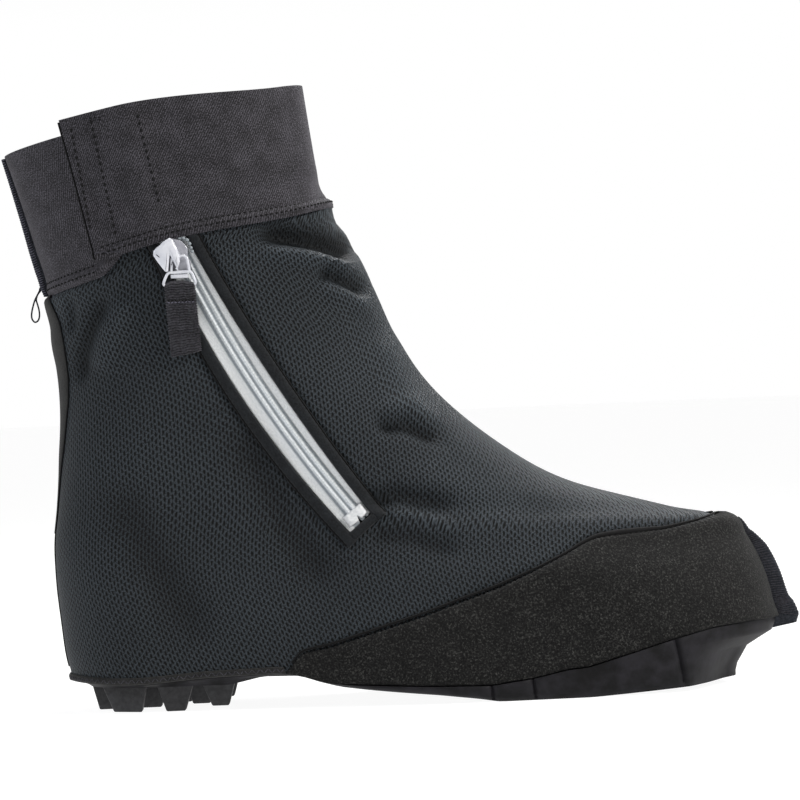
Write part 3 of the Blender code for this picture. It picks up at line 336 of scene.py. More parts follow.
def addNode(tree, kind, settings=None, inputs=None):
    node = tree.nodes.new(kind)
    for name, value in (settings or {}).items():
        setattr(node, name, value)
    for name, value in (inputs or {}).items():
        if isinstance(value, bpy.types.NodeSocket):
            tree.links.new(value, node.inputs[name])
        else:
            node.inputs[name].default_value = value
    return node


def startMaterial(name, values):
    made = bpy.data.materials.new(name)
    made.use_nodes = True
    shader = made.node_tree.nodes["Principled BSDF"]
    for key, value in values.items():
        shader.inputs[key].default_value = value
    return made, made.node_tree, shader


def uvPoint(tree):
    return addNode(tree, "ShaderNodeUVMap", {"uv_map": "UVMap"}).outputs[0]


def objectPoint(tree):
    return addNode(tree, "ShaderNodeTexCoord").outputs["Object"]


def noise(tree, point, scale, detail=2.0, roughness=0.5, output="Fac"):
    values = {"Vector": point, "Scale": scale, "Detail": detail, "Roughness": roughness}
    return addNode(tree, "ShaderNodeTexNoise", None, values).outputs[output]


def compute(tree, operation, *values):
    return addNode(tree, "ShaderNodeMath", {"operation": operation}, dict(enumerate(values))).outputs[0]


def computeVector(tree, operation, *values, scale=None):
    inputs = dict(enumerate(values))
    if scale is not None:
        inputs["Scale"] = scale
    node = addNode(tree, "ShaderNodeVectorMath", {"operation": operation}, inputs)
    return node.outputs["Value" if operation == "LENGTH" else "Vector"]


def mapRange(tree, value, fromMin, fromMax, toMin=0.0, toMax=1.0, kind="LINEAR"):
    inputs = {"Value": value, "From Min": fromMin, "From Max": fromMax, "To Min": toMin, "To Max": toMax}
    return addNode(tree, "ShaderNodeMapRange", {"interpolation_type": kind}, inputs).outputs[0]


def colourRamp(tree, factor, stops):
    ramp = addNode(tree, "ShaderNodeValToRGB", None, {0: factor})
    elements = ramp.color_ramp.elements
    while len(elements) < len(stops):
        elements.new(0.5)
    for element, (position, colour) in zip(elements, stops):
        element.position = position
        element.color = hexColour(colour)
    return ramp.outputs["Color"]


def paint(tree, shader, colour, height, strength, distance):
    # the last step of each material: its colour and its bumps
    tree.links.new(colour, shader.inputs["Base Color"])
    bump = addNode(tree, "ShaderNodeBump", None, {"Height": height, "Strength": strength, "Distance": distance})
    tree.links.new(bump.outputs["Normal"], shader.inputs["Normal"])


def eyeletKnit():
    # polyester warp knit, dyed black: soft sheen on the strands and dark eyelets in a staggered grid
    made, tree, shader = startMaterial("polyesterEyeletKnit", {
        "Roughness": 0.6, "Sheen Weight": 0.05, "Sheen Roughness": 0.4, "Sheen Tint": hexColour("#9aa4ad"),
        "Specular IOR Level": 0.14})
    # mm across and down: from one eyelet to the next, and the scale of an eyelet
    pitch, eyelet = (3.1, 2.7), (0.35, 0.70)
    size = [apart / half for apart, half in zip(pitch, eyelet)]
    uv = uvPoint(tree)
    lean = addNode(tree, "ShaderNodeMapping", None, {"Vector": uv, "Rotation": (0, 0, math.radians(-7))}).outputs[0]
    wander = computeVector(tree, "SCALE", noise(tree, lean, 0.35, output="Color"), scale=0.9)
    moved = computeVector(tree, "ADD", lean, wander)
    holes = []
    for shift in (0.0, 0.5):
        cell = computeVector(tree, "MULTIPLY_ADD", moved, (1 / pitch[0], 1 / pitch[1], 0), (shift, shift, 0))
        part = computeVector(tree, "FRACTION", cell)
        centred = computeVector(tree, "MULTIPLY_ADD", part, (*size, 0), (-0.5 * size[0], -0.5 * size[1], 0))
        holes.append(computeVector(tree, "LENGTH", centred))
    strand = mapRange(tree, compute(tree, "MINIMUM", *holes), 0.55, 1.75, kind="SMOOTHSTEP")
    fuzz = mapRange(tree, noise(tree, uv, 1.9, 3.0), 0.3, 0.7, -0.36, 0.2)
    lit = compute(tree, "ADD", strand, fuzz)
    colour = colourRamp(tree, lit, ((0.0, "#040505"), (0.45, "#0e1012"), (0.8, "#1d2023"), (1.0, "#353b40")))
    # painted shade and highlight: the colour is darkened in a fold's hollow and paled on its crest, by the fold's
    # rise
    fold = addNode(tree, "ShaderNodeAttribute", {"attribute_name": "foldRise"}).outputs["Fac"]
    foldShadeAndHighlight = mapRange(tree, fold, -0.004, 0.004, 0.3, 1.7)
    paint(tree, shader, computeVector(tree, "SCALE", colour, scale=foldShadeAndHighlight), lit, 0.7, 0.00045)
    return made


def fleeceLining():
    # brushed polyester fleece inside: fine pile, no gloss
    made, tree, shader = startMaterial("brushedFleeceLining", {
        "Roughness": 0.95, "Sheen Weight": 0.15, "Specular IOR Level": 0.15})
    point = objectPoint(tree)
    pile = compute(tree, "ADD", noise(tree, point, 900.0, 4.0), noise(tree, point, 140.0))
    half = compute(tree, "MULTIPLY", pile, 0.5)
    paint(tree, shader, colourRamp(tree, half, ((0.3, "#101113"), (0.7, "#242629"))), half, 0.8, 0.0008)
    return made


def coatedNeoprene():
    # neoprene with a matt coated face: brownish black, a fine pebble and a few pale lint specks
    made, tree, shader = startMaterial("coatedNeoprene", {
        "Roughness": 0.8, "Sheen Weight": 0.03, "Sheen Roughness": 0.6, "Specular IOR Level": 0.12})
    point = objectPoint(tree)
    pebble = noise(tree, point, 1200.0, 3.0, 0.75)
    mixed = compute(tree, "MULTIPLY_ADD", noise(tree, point, 90.0, 3.0), 0.10, pebble)
    base = colourRamp(tree, mixed, ((0.43, "#060606"), (0.53, "#101010"), (0.62, "#1e1e1d"), (0.74, "#40403e")))
    lint = addNode(tree, "ShaderNodeTexVoronoi", None, {"Vector": point, "Scale": 330.0}).outputs["Distance"]
    chosen = compute(tree, "GREATER_THAN", noise(tree, point, 480.0), 0.60)
    amount = compute(tree, "MULTIPLY", mapRange(tree, lint, 0.12, 0.02), chosen)
    mix = addNode(tree, "ShaderNodeMix", {"data_type": "RGBA"}, {0: amount, 6: base, 7: hexColour("#4b4b48")})
    paint(tree, shader, mix.outputs[2], mixed, 0.55, 0.0004)
    return made


def wovenElastic():
    # polyester elastic, woven as a fine twill: charcoal with a violet cast, ribs 0.9 mm apart so that they show
    made, tree, shader = startMaterial("wovenElastic", {
        "Roughness": 0.78, "Sheen Weight": 0.08, "Sheen Roughness": 0.5, "Sheen Tint": hexColour("#b7b1bd"),
        "Specular IOR Level": 0.2})
    uv = uvPoint(tree)
    twill = addNode(tree, "ShaderNodeMapping", None, {"Vector": uv, "Rotation": (0, 0, math.radians(38))})
    bands = addNode(tree, "ShaderNodeTexWave", None, {
        "Vector": twill.outputs[0], "Scale": 0.35, "Distortion": 1.1, "Detail": 2.0, "Detail Scale": 1.5})
    weave = compute(tree, "MULTIPLY_ADD", bands.outputs["Fac"], 0.22, noise(tree, uv, 1.5, 3.0))
    total = compute(tree, "MULTIPLY_ADD", noise(tree, uv, 0.12), 0.25, weave)
    colour = colourRamp(tree, total, ((0.52, "#0e0d0f"), (0.72, "#222124"), (0.92, "#4a484e")))
    paint(tree, shader, colour, weave, 0.5, 0.0003)
    return made


def wovenTape(name, dark, light, roughness=0.85):
    # plain woven or spun polyester: a fine grain over soft clouds
    values = {"Roughness": roughness, "Sheen Weight": 0.05, "Specular IOR Level": 0.2}
    made, tree, shader = startMaterial(name, values)
    point = objectPoint(tree)
    both = compute(tree, "MULTIPLY_ADD", noise(tree, point, 160.0), 0.4, noise(tree, point, 1300.0, 3.0))
    paint(tree, shader, colourRamp(tree, both, ((0.45, dark), (0.95, light))), both, 0.4, 0.0003)
    return made


def whiteWeave(name, dark, light, pitch, roughness, contrast, paintedGrooveShades):
    # white polyester yarn with ribs across the strip; paintedGrooveShades are bands of painted shade along its
    # grooves, their tones by the mm from the strip's middle
    made, tree, shader = startMaterial(name, {"Roughness": roughness, "Specular IOR Level": 0.3})
    uv, reach = uvPoint(tree), 8.0
    ribs = addNode(tree, "ShaderNodeTexWave", None, {
        "Vector": uv, "Scale": 0.314 / pitch, "Distortion": 0.8, "Detail": 2.0})
    both = compute(tree, "MULTIPLY_ADD", ribs.outputs["Fac"], contrast, noise(tree, uv, 1.4, 3.0))
    colour = colourRamp(tree, both, ((0.35, dark), (0.85, light)))
    across = addNode(tree, "ShaderNodeSeparateXYZ", None, {0: uv}).outputs["Y"]
    spread = compute(tree, "DIVIDE", compute(tree, "ABSOLUTE", across), reach)
    grooveShadeTone = colourRamp(tree, spread, [(at / reach, value) for at, value in paintedGrooveShades])
    settings = {"data_type": "RGBA", "blend_type": "MULTIPLY"}
    mix = addNode(tree, "ShaderNodeMix", settings, {0: 1.0, 6: colour, 7: grooveShadeTone})
    paint(tree, shader, mix.outputs[2], both, 0.35, 0.0003)
    return made


def smoothFinish(name, values, dark, light, scale, bump):
    # a plain moulded, cast or painted surface with slight unevenness of colour and height
    made, tree, shader = startMaterial(name, values)
    cloud = noise(tree, objectPoint(tree), scale, 4.0, 0.6)
    paint(tree, shader, colourRamp(tree, cloud, ((0.35, dark), (0.65, light))), cloud, 0.3, bump)
    return made


knit = eyeletKnit()
lining = fleeceLining()
neoprene = coatedNeoprene()
elastic = wovenElastic()
trimTape = wovenTape("wovenTrimTape", "#151515", "#2e2e2d")
weltTape = wovenTape("wovenWeltTape", "#08090b", "#1e2124")
overlock = wovenTape("overlockThread", "#101216", "#32353c")
# also the finish of the lines and sheet of painted shadow at the flap's edge, the rand's seam, the cuff's back crease
# and below the zip tape's end
darkThreadAndShadow = wovenTape("spunThreadDarkAndPaintedShadow", "#020203", "#060607")
# also the finish of the slider's slots, where it is painted shade
charcoalThreadAndSlotShade = wovenTape("spunThreadCharcoalAndSlotShade", "#232226", "#45444b")
ladderThread = wovenTape("spunThreadViolet", "#3c3b45", "#6a6976")
felt = wovenTape("needledFelt", "#151517", "#2c2c2f", 0.95)
webbing = wovenTape("ribbedWebbing", "#121213", "#48474d")
rubber = smoothFinish("mouldedRubber", {"Roughness": 0.6, "Specular IOR Level": 0.15},
                      "#0c0c0d", "#1f1e22", 120.0, 0.0003)
lugRubber = smoothFinish("mouldedLugRubber", {"Roughness": 0.6, "Specular IOR Level": 0.3},
                         "#1e1e20", "#303032", 420.0, 0.0003)
# painted shade: the tape darkens just beside the coil's edge, and the coil in its middle and along its sewn groove
zipCloth = whiteWeave("whiteZipTape", "#c4c9cc", "#f2f4f5", 0.55, 0.75, 0.35,
                      ((2.6, "#a3a8ac"), (3.3, "#b4b9bd"), (3.9, "#ffffff")))
zipYarn = whiteWeave("whiteZipCoil", "#b5babe", "#e2e5e7", 1.28, 0.5, 0.10, (
    (0.0, "#bcc1c4"), (0.4, "#c8ccd0"), (0.75, "#ffffff"), (2.0, "#ffffff"), (2.5, "#b0b5b9")))
stopNylon = smoothFinish("mouldedNylonWhite", {"Roughness": 0.45}, "#c2c5c7", "#dddedf", 700.0, 0.0002)
lacquer = smoothFinish("whiteLacquerOnZinc", {"Roughness": 0.28, "Coat Weight": 0.5, "Coat Roughness": 0.12},
                       "#c6c8d0", "#d4d6dc", 300.0, 0.0001)
# the white lacquer again, made greyer for the plate and bridge under the hood: painted shade
lacquerWithPaintedShade = smoothFinish("whiteLacquerWithPaintedShade", {"Roughness": 0.32, "Coat Weight": 0.4, "Coat Roughness": 0.15},
                           "#898a93", "#a2a3ab", 300.0, 0.0001)
# a darker copy still, for the slider's mouth: painted shade inside the hood's V
lacquerWithDeepPaintedShade = smoothFinish("deepPaintedShadeInTheHood", {"Roughness": 0.5}, "#4c4d54", "#5d5e66", 300.0, 0.0001)
print("materials made")


# Making pieces
def linkObject(name, data):
    made = bpy.data.objects.new(name, data)
    bpy.context.scene.collection.objects.link(made)
    return made


def finishPiece(name, shape, finishes, body="shoe", angle=50):
    bmesh.ops.translate(shape, verts=shape.verts, vec=place)
    mesh = bpy.data.meshes.new(name)
    shape.to_mesh(mesh)
    shape.free()
    for finish in finishes:
        mesh.materials.append(finish)
    mesh.shade_smooth()
    mesh.set_sharp_from_angle(angle=math.radians(angle))
    piece = linkObject(name, mesh)
    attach(piece, body)
    return piece


def arcLength(points, axis=0):
    # the way along one axis of a set of points, from 0
    steps = np.linalg.norm(np.diff(points, axis=axis), axis=-1)
    before = [(0, 0)] * steps.ndim
    before[axis] = (1, 0)
    return np.pad(np.cumsum(steps, axis=axis), before)


def arcUv(points):
    # millimetres along and up the strip
    return np.stack((arcLength(points, 1), arcLength(points, 0)), axis=-1) * 1000


def clothGrid(points, uvs=None, rises=None):
    # a grid whose vertices are set to points[level, column]
    levels, columns = points.shape[0] - 1, points.shape[1] - 1
    shape = bmesh.new()
    bmesh.ops.create_grid(shape, x_segments=columns, y_segments=levels, size=0.5)
    shape.verts.ensure_lookup_table()
    layer = shape.loops.layers.uv.new("UVMap")
    foldLayer = shape.verts.layers.float.new("foldRise") if rises is not None else None
    cells = {}
    for vert in shape.verts:
        column = round((vert.co.x + 0.5) * columns)
        level = round((vert.co.y + 0.5) * levels)
        cells[vert.index] = (level, column)
        vert.co = points[level, column]
        if foldLayer is not None:
            vert[foldLayer] = rises[level, column]
    for face in shape.faces:
        for loop in face.loops:
            level, column = cells[loop.vert.index]
            loop[layer].uv = uvs[level, column] if uvs is not None else (column, level)
    return shape


def addWall(piece, thickness, offset=-1.0, rounding=0.0, inside=0):
    # thickens a grid inwards, or outwards with an offset of 1; inside is the material slot of its far face
    wall = piece.modifiers.new("wall", "SOLIDIFY")
    wall.thickness = thickness
    wall.offset = offset
    wall.material_offset = inside
    if rounding:
        edge = piece.modifiers.new("edge", "BEVEL")
        edge.width = rounding
        edge.segments = 2
        edge.limit_method = "ANGLE"
        edge.angle_limit = math.radians(50)


def roundEdges(shape, edges, radius, segments=3):
    bmesh.ops.bevel(shape, geom=list(edges), affect="EDGES", offset=radius, segments=segments, profile=0.5,
                    material=-1)


def closeEnds(shape):
    bmesh.ops.remove_doubles(shape, verts=shape.verts, dist=0.000005)
    rims = [edge for edge in shape.edges if edge.is_boundary]
    if rims:
        bmesh.ops.holes_fill(shape, edges=rims, sides=0)
    bmesh.ops.recalc_face_normals(shape, faces=shape.faces)


def addStitch(shape, centre, along, out, length, radius, flat=0.8):
    # one stitch: a small stretched ball, sunk by half
    along, out = Vector(along).normalized(), Vector(out).normalized()
    side = out.cross(along).normalized()
    turn = Matrix((along, side, out)).transposed().to_4x4()
    size = Matrix.Diagonal((length / 2, radius, radius * flat, 1.0))
    bmesh.ops.create_icosphere(shape, subdivisions=1, radius=1.0,
                               matrix=Matrix.Translation(Vector(centre)) @ turn @ size)


def runStitches(shape, path, outs, pitch, length, radius, zigzag=0.0, flat=0.8):
    # stitches along a path of points; zigzag gives each a slant to the side
    arc = arcLength(path)
    count = max(2, int(arc[-1] / pitch))

    def valueAt(values, way):
        return np.array([np.interp(way, arc, values[:, k]) for k in range(3)])

    for index in range(count):
        spot = (index + 0.5) / count * arc[-1]
        run = valueAt(path, min(spot + pitch / 2, arc[-1])) - valueAt(path, max(spot - pitch / 2, 0))
        along = run / np.linalg.norm(run)
        out = valueAt(outs, spot)
        if zigzag:
            along = along + np.cross(out, along) * zigzag * (1 if index % 2 else -1)
        addStitch(shape, valueAt(path, spot), along, out, length, radius, flat)


def tubeAlong(path, radii, sides=14, closed=False):
    # a round tube along points, from a circle that is moved from station to station and bridged
    shape = bmesh.new()
    loops = []
    count = len(path)
    normal = None
    for index, point in enumerate(path):
        before = path[index - 1] if (index or closed) else path[index]
        after = path[(index + 1) % count] if (index < count - 1 or closed) else path[index]
        along = (after - before).normalized()
        if normal is None:
            normal = along.orthogonal().normalized()
        normal = (normal - along * normal.dot(along)).normalized()
        turn = Matrix((normal, along.cross(normal), along)).transposed().to_4x4()
        ring = bmesh.ops.create_circle(shape, cap_ends=False, segments=sides, radius=radii[index],
                                       matrix=Matrix.Translation(point) @ turn)
        loops.append(ring["verts"])
    pairs = list(zip(loops[:-1], loops[1:])) + ([(loops[-1], loops[0])] if closed else [])
    for first, second in pairs:
        best = min(range(sides), key=lambda k: (second[k].co - first[0].co).length)
        for k in range(sides):
            far, near = (best + k + 1) % sides, (best + k) % sides
            shape.faces.new((first[k], first[(k + 1) % sides], second[far], second[near]))
    if not closed:
        shape.faces.new(loops[0][::-1])
        shape.faces.new(loops[-1])
    bmesh.ops.recalc_face_normals(shape, faces=shape.faces)
    return shape


def darkLine(name, points, radii):
    # a dark line laid along points: used for threads and for painted shadow along edges and creases
    radii = np.broadcast_to(radii, len(points)).tolist()
    finishPiece(name, tubeAlong([Vector(point) for point in points], radii, sides=8), (darkThreadAndShadow,))


# The knitted upper
upperSizes = {
    "columns": 380, "levels": 118, "top": 13.45, "wall": 0.0023, "slotMargin": 0.0012, "slotTop": -0.25,
    "slotEnd": 1.004, "seamDip": 0.0011, "creaseDepth": 0.0010, "creaseWidth": 0.0011, "underWelt": 0.0006,
    "underRand": 0.0010,
}


def makeUpper():
    turns = np.linspace(0, fullTurn, upperSizes["columns"] + 1)
    rows = np.linspace(0, upperSizes["top"], upperSizes["levels"] + 1)
    turn, row = np.meshgrid(turns, rows)
    base = surfaceAt(turn, row)
    x, z = base[..., 0], base[..., 2]
    # the knit dips beside the zip's welt and lies lower under it
    share, offset = zipPlace(x, z)
    beside = np.abs(offset) - zipHalf(share) - zipSizes["weltWidth"]
    nearZip = (np.sin(turn) > 0) & (share > -0.2) & (share < 1 + zipSizes["weltEnd"] / zipLength)
    crease = np.where(nearZip, bell(beside, upperSizes["creaseWidth"]), 0.0) * upperSizes["creaseDepth"]
    under = np.where(nearZip & (beside < 0), smoothstep(-beside / 0.002), 0.0) * upperSizes["underWelt"]
    # and the same along the rand's seam
    away = z - lineHeight(randLine, x, "toeHeight")
    dip = upperSizes["seamDip"] * bell(away - 0.0008, 0.0016) * smoothstep((x - 0.1) / 0.02)
    hidden = upperSizes["underRand"] * smoothstep(-away / 0.003) * (x > 0.1)
    points = skinAt(turn, row, -(crease + under + dip + hidden))
    # the knit's own millimetres: across from the back on both sides, and up
    half = upperSizes["columns"] // 2
    outerArc = arcLength(points[:, :half + 1], 1)
    innerArc = arcLength(points[:, half:][:, ::-1], 1)[:, ::-1]
    innerArc = innerArc * (outerArc[:, -1] / innerArc[:, 0])[:, None]
    across = np.concatenate((outerArc, innerArc[:, 1:]), axis=1)
    climbs = np.linalg.norm(np.diff(points, axis=0), axis=-1)
    up = np.sqrt(np.maximum(climbs**2 - np.diff(across, axis=0) ** 2, (0.3 * climbs) ** 2))
    height = points[:1, :, 2] + np.pad(np.cumsum(up, axis=0), ((1, 0), (0, 0)))
    shape = clothGrid(points, np.stack((across, height), axis=-1) * 1000, foldAt(turn, row))
    gone = []  # faces in the slot for the zip
    for face in shape.faces:
        if face.calc_center_median().y > 0:
            continue
        corners = np.array([vert.co for vert in face.verts])
        where, side = zipPlace(corners[:, 0], corners[:, 2])
        inside = np.abs(side) < zipHalf(where) + upperSizes["slotMargin"]
        if (inside & (where > upperSizes["slotTop"]) & (where < upperSizes["slotEnd"])).any():
            gone.append(face)
    bmesh.ops.delete(shape, geom=gone, context="FACES")
    bmesh.ops.remove_doubles(shape, verts=shape.verts, dist=0.00002)
    piece = finishPiece("upperKnit", shape, (knit, lining))
    addWall(piece, upperSizes["wall"], inside=1)
    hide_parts("upper")


makeUpper()
print("upper made")


# The elastic cuff, one band wrapped once around with its end as a flap
cuffSizes = {
    "start": 1.30, "stepStart": 1.62, "stepEnd": 1.36, "end": 0.97, "liftStart": 2.58, "lift": 0.006,
    "thickness": 0.0018, "columns": 250, "levels": 34, "hem": 0.0042, "hemEdge": 0.0006, "drop": 0.0020,
    "dropFront": 0.0018, "tuck": 0.0080, "flareFront": 0.0026, "flareBack": 0.0021, "swell": 0.0005,
    "curl": 0.0007, "curlLow": 0.0012, "corner": 0.34, "threadRise": 0.00012,
}
cuffRows = shoe["topRow"] - shoe["collarRow"]
flapStart = cuffSizes["end"] - fullTurn


def flapLift(turn):
    rowHeight = (shoe["cuffFront"] + shoe["cuffBack"]) / 2 / cuffRows
    part = (cuffSizes["liftStart"] - turn) / (cuffSizes["liftStart"] - cuffSizes["stepEnd"])
    return cuffSizes["lift"] / rowHeight * smoothstep(part)


def cuffPoint(turn, part, out=0.0):
    # turn runs from flapStart to the band's start; part is 0 at the lower edge and 1 at the top
    turn, part = np.broadcast_arrays(np.asarray(turn, float), np.asarray(part, float))
    around = turn + fullTurn
    over = turn < -math.pi
    lift = np.where(over, flapLift(around), 0.0)
    stepRun = cuffSizes["stepStart"] - cuffSizes["stepEnd"]
    step = smoothstep((cuffSizes["stepStart"] - around) / stepRun) * (turn < 0)
    front = bell(np.cos(turn / 2), cuffSizes["corner"])
    back = bell(np.sin(turn / 2), cuffSizes["corner"])
    drop = (cuffSizes["drop"] + cuffSizes["dropFront"] * front) / shoe["cuffFront"] * (1 - part)
    # the inner end slants up out of sight
    tuck = cuffSizes["tuck"] / shoe["cuffFront"] * smoothstep((turn - 0.92) / 0.34) * (1 - part)
    row = shoe["collarRow"] + (part - drop + tuck) * cuffRows + lift
    height = part * shoe["cuffFront"]
    hem = smoothstep((height - 0.0002) / 0.0012) * (1 - 0.5 * bell(height - cuffSizes["hem"], 0.0009))
    wave = 0.0004 * np.sin(3 * turn + 0.8) * (1 - part) + 0.0005 * np.sin(2 * turn + 2.0) * part
    curl = (cuffSizes["curl"] + cuffSizes["curlLow"] * (1 - part) ** 2) * bell(around - cuffSizes["end"], 0.07) * over
    swell = cuffSizes["swell"] * bell(height - 0.0022, 0.0016)
    flare = cuffSizes["flareFront"] * front * smoothstep(1 - height / 0.0130)
    flare = flare + cuffSizes["flareBack"] * back * part**2
    rise = shoe["gap"] + step * (0.002 + shoe["gap"]) + (hem - 1) * cuffSizes["hemEdge"] + np.abs(wave)
    return skinAt(turn % fullTurn, row, rise + curl + swell + flare + out, folds=False)


def makeCuff():
    turns = np.linspace(flapStart, cuffSizes["start"], cuffSizes["columns"] + 1)
    parts = np.concatenate((np.linspace(0, 0.16, 14), np.linspace(0.19, 1, cuffSizes["levels"] - 13)))
    points = cuffPoint(turns[None, :], parts[:, None])
    piece = finishPiece("cuffElastic", clothGrid(points, arcUv(points)), (elastic,))
    addWall(piece, cuffSizes["thickness"], 1.0, rounding=0.0005)
    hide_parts("cuff_band")


makeCuff()


def sewCuff(shape, turn, part, row, pitch, length, radius, flat):
    path = cuffPoint(turn, part, cuffSizes["thickness"] + cuffSizes["threadRise"])
    runStitches(shape, path, normalAt(turn % fullTurn, row), pitch, length, radius, flat=flat)


def cuffTurnPart(x, z):
    # where the side view shows x, z on the flap's outer face
    turn, row = turnRowAt(x, z, 16.6)
    return turn - fullTurn, (row - shoe["collarRow"] - flapLift(turn)) / cuffRows


def makeCuffStitches():
    dark = bmesh.new()
    # rows down the flap, from top to foot in mm of the side view
    rows = (((19.1, 247.6), (25.6, 206)), ((27.2, 250.0), (35.2, 203)), ((45.6, 251.6), (53.0, 215)))
    for ends in rows:
        x, z = (np.linspace(*values, 40) / 1000 for values in zip(*ends))
        turn, part = cuffTurnPart(x, z)
        keep = (part > 0.09) & (part < 0.985) & (turn > flapStart + 0.02)
        sewCuff(dark, turn[keep], part[keep], 14.5, 0.0028, 0.0019, 0.00062, 0.6)
    full = np.linspace(flapStart + 0.05, cuffSizes["end"] - 0.06, 400)
    for height in (cuffSizes["hem"], 0.0019):
        sewCuff(dark, full, height / shoe["cuffFront"], 13.2, 0.0024, 0.0017, 0.00048, 0.7)
    for z in (0.2505, 0.2496):  # the short bar of stitches at the head of the second row
        turn, part = cuffTurnPart(np.linspace(0.0262, 0.0316, 12), z)
        sewCuff(dark, turn, part, 15.5, 0.0016, 0.0012, 0.00034, 0.5)
    finishPiece("cuffStitches", dark, (darkThreadAndShadow,))
    # a dark line just beyond the flap's end: painted shadow of its edge
    edge = cuffPoint(flapStart - 0.009, np.linspace(0.01, 0.985, 60), 0.0014)
    darkLine("flapEdgeShadow", edge, 0.00042)
    fray = bmesh.new()
    for index in range(26):
        turn = flapStart + 0.015 + 0.20 * (index * 0.618 % 1)
        part = 0.012 + 0.05 * (index * 0.377 % 1)
        centre = cuffPoint(turn, part, cuffSizes["thickness"] + cuffSizes["threadRise"])
        slant = 0.6 * math.sin(index * 2.4)
        along = (math.cos(slant), 0, 0.5 + math.sin(slant))
        addStitch(fray, centre, along, normalAt(turn % fullTurn, 13.2), 0.0016 + 0.0008 * index / 25, 0.00022)
    finishPiece("flapOverlock", fray, (charcoalThreadAndSlotShade,))


makeCuffStitches()
print("cuff made")


# The zip
def makeZipTape():
    dents = (  # in the cut end: place, width, mm deep
        (-0.10, 0.06, 2.4), (-0.55, 0.05, 0.8), (0.45, 0.10, 0.4), (-0.90, 0.10, 0.6), (0.95, 0.08, 0.9),
    )
    across = np.linspace(1, -1, 61)[:, None]
    cut = 0.6 + sum(deep * bell(across - spot, wide) for spot, wide, deep in dents)
    ends = 1.0 - (cut - 0.5 * across) / 1000 / zipLength
    shares = -0.09 + (ends + 0.09) * np.linspace(0, 1, 300)
    offsets = across * (zipHalf(shares) + 0.0004)
    ribs = np.cos(np.clip(np.abs(offsets) / 0.0056, 0, 1) * math.pi) * 0.00012
    beads = 0.00012 * np.cos(fullTurn * shares * zipLength / 0.0011) * smoothstep((np.abs(across) - 0.84) / 0.1)
    edge = -0.0004 * smoothstep((np.abs(across) - 0.9) / 0.1)
    points = zipSheet(shares, offsets, -0.0009 + ribs + edge + beads)
    uvs = np.stack((shares * zipLength, offsets + zipSizes["coilShift"]), axis=-1) * 1000
    piece = finishPiece("zipTape", clothGrid(points, uvs), (zipCloth,))
    addWall(piece, 0.0007)
    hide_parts("zip_tape")


def makeCoil():
    shares = np.linspace(-0.07, 1.0 - (zipSizes["stopLength"] + 0.0016) / zipLength, 720)
    across = np.linspace(0.0031, -0.0031, 37)[:, None]
    away, way = np.abs(across), fullTurn * shares * zipLength
    ridge = 0.00095 * bell(away - 0.00145, 0.00068)
    seam = 0.000175 * bell(away - 0.0026, 0.00035)
    teeth = 0.00005 * np.cos(way / zipSizes["pitch"]) * bell(away - 0.00080, 0.0007)
    stitch = 0.00012 * np.cos(way / 0.0021) * bell(away - 0.0024, 0.0004)
    points = zipSheet(shares, across - zipSizes["coilShift"], -0.00045 + ridge - seam + teeth + stitch)
    uvs = np.stack(np.broadcast_arrays(shares * zipLength, across), axis=-1) * 1000
    piece = finishPiece("zipCoil", clothGrid(points, uvs), (zipYarn,))
    addWall(piece, 0.0006)
    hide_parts("zip_coil")


def makeStop():
    # the moulded stop over both tape ends, with the notch between them
    half, length, height = 0.0050, 0.0056, 0.0012
    across, runs = np.linspace(1, -1, 41)[:, None], np.linspace(0, 1, 17)
    notch = 0.0019 * bell(across + 0.06, 0.10) + 0.0006 * across**2
    shares = 1.0 - (length + 0.0014) / zipLength + (length - notch) / zipLength * runs
    lift = (1 - np.abs(across) ** 6) * (1 - np.abs(2 * runs - 1) ** 8)
    points = zipSheet(shares, across * half - zipSizes["coilShift"], -0.0003 + height * lift)
    piece = finishPiece("zipStop", clothGrid(points), (stopNylon,))
    addWall(piece, 0.0005)
    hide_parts("zip_stop")
    # a dark sheet below the tape's cut end: painted shade in the gap
    shares = np.linspace(0.955, 1.0 + 0.001 / zipLength, 12)
    points = zipSheet(shares, np.linspace(1, -1, 15)[:, None] * (zipHalf(shares) + 0.0006), -0.0020)
    addWall(finishPiece("zipEndShade", clothGrid(points, arcUv(points)), (darkThreadAndShadow,)), 0.0004)


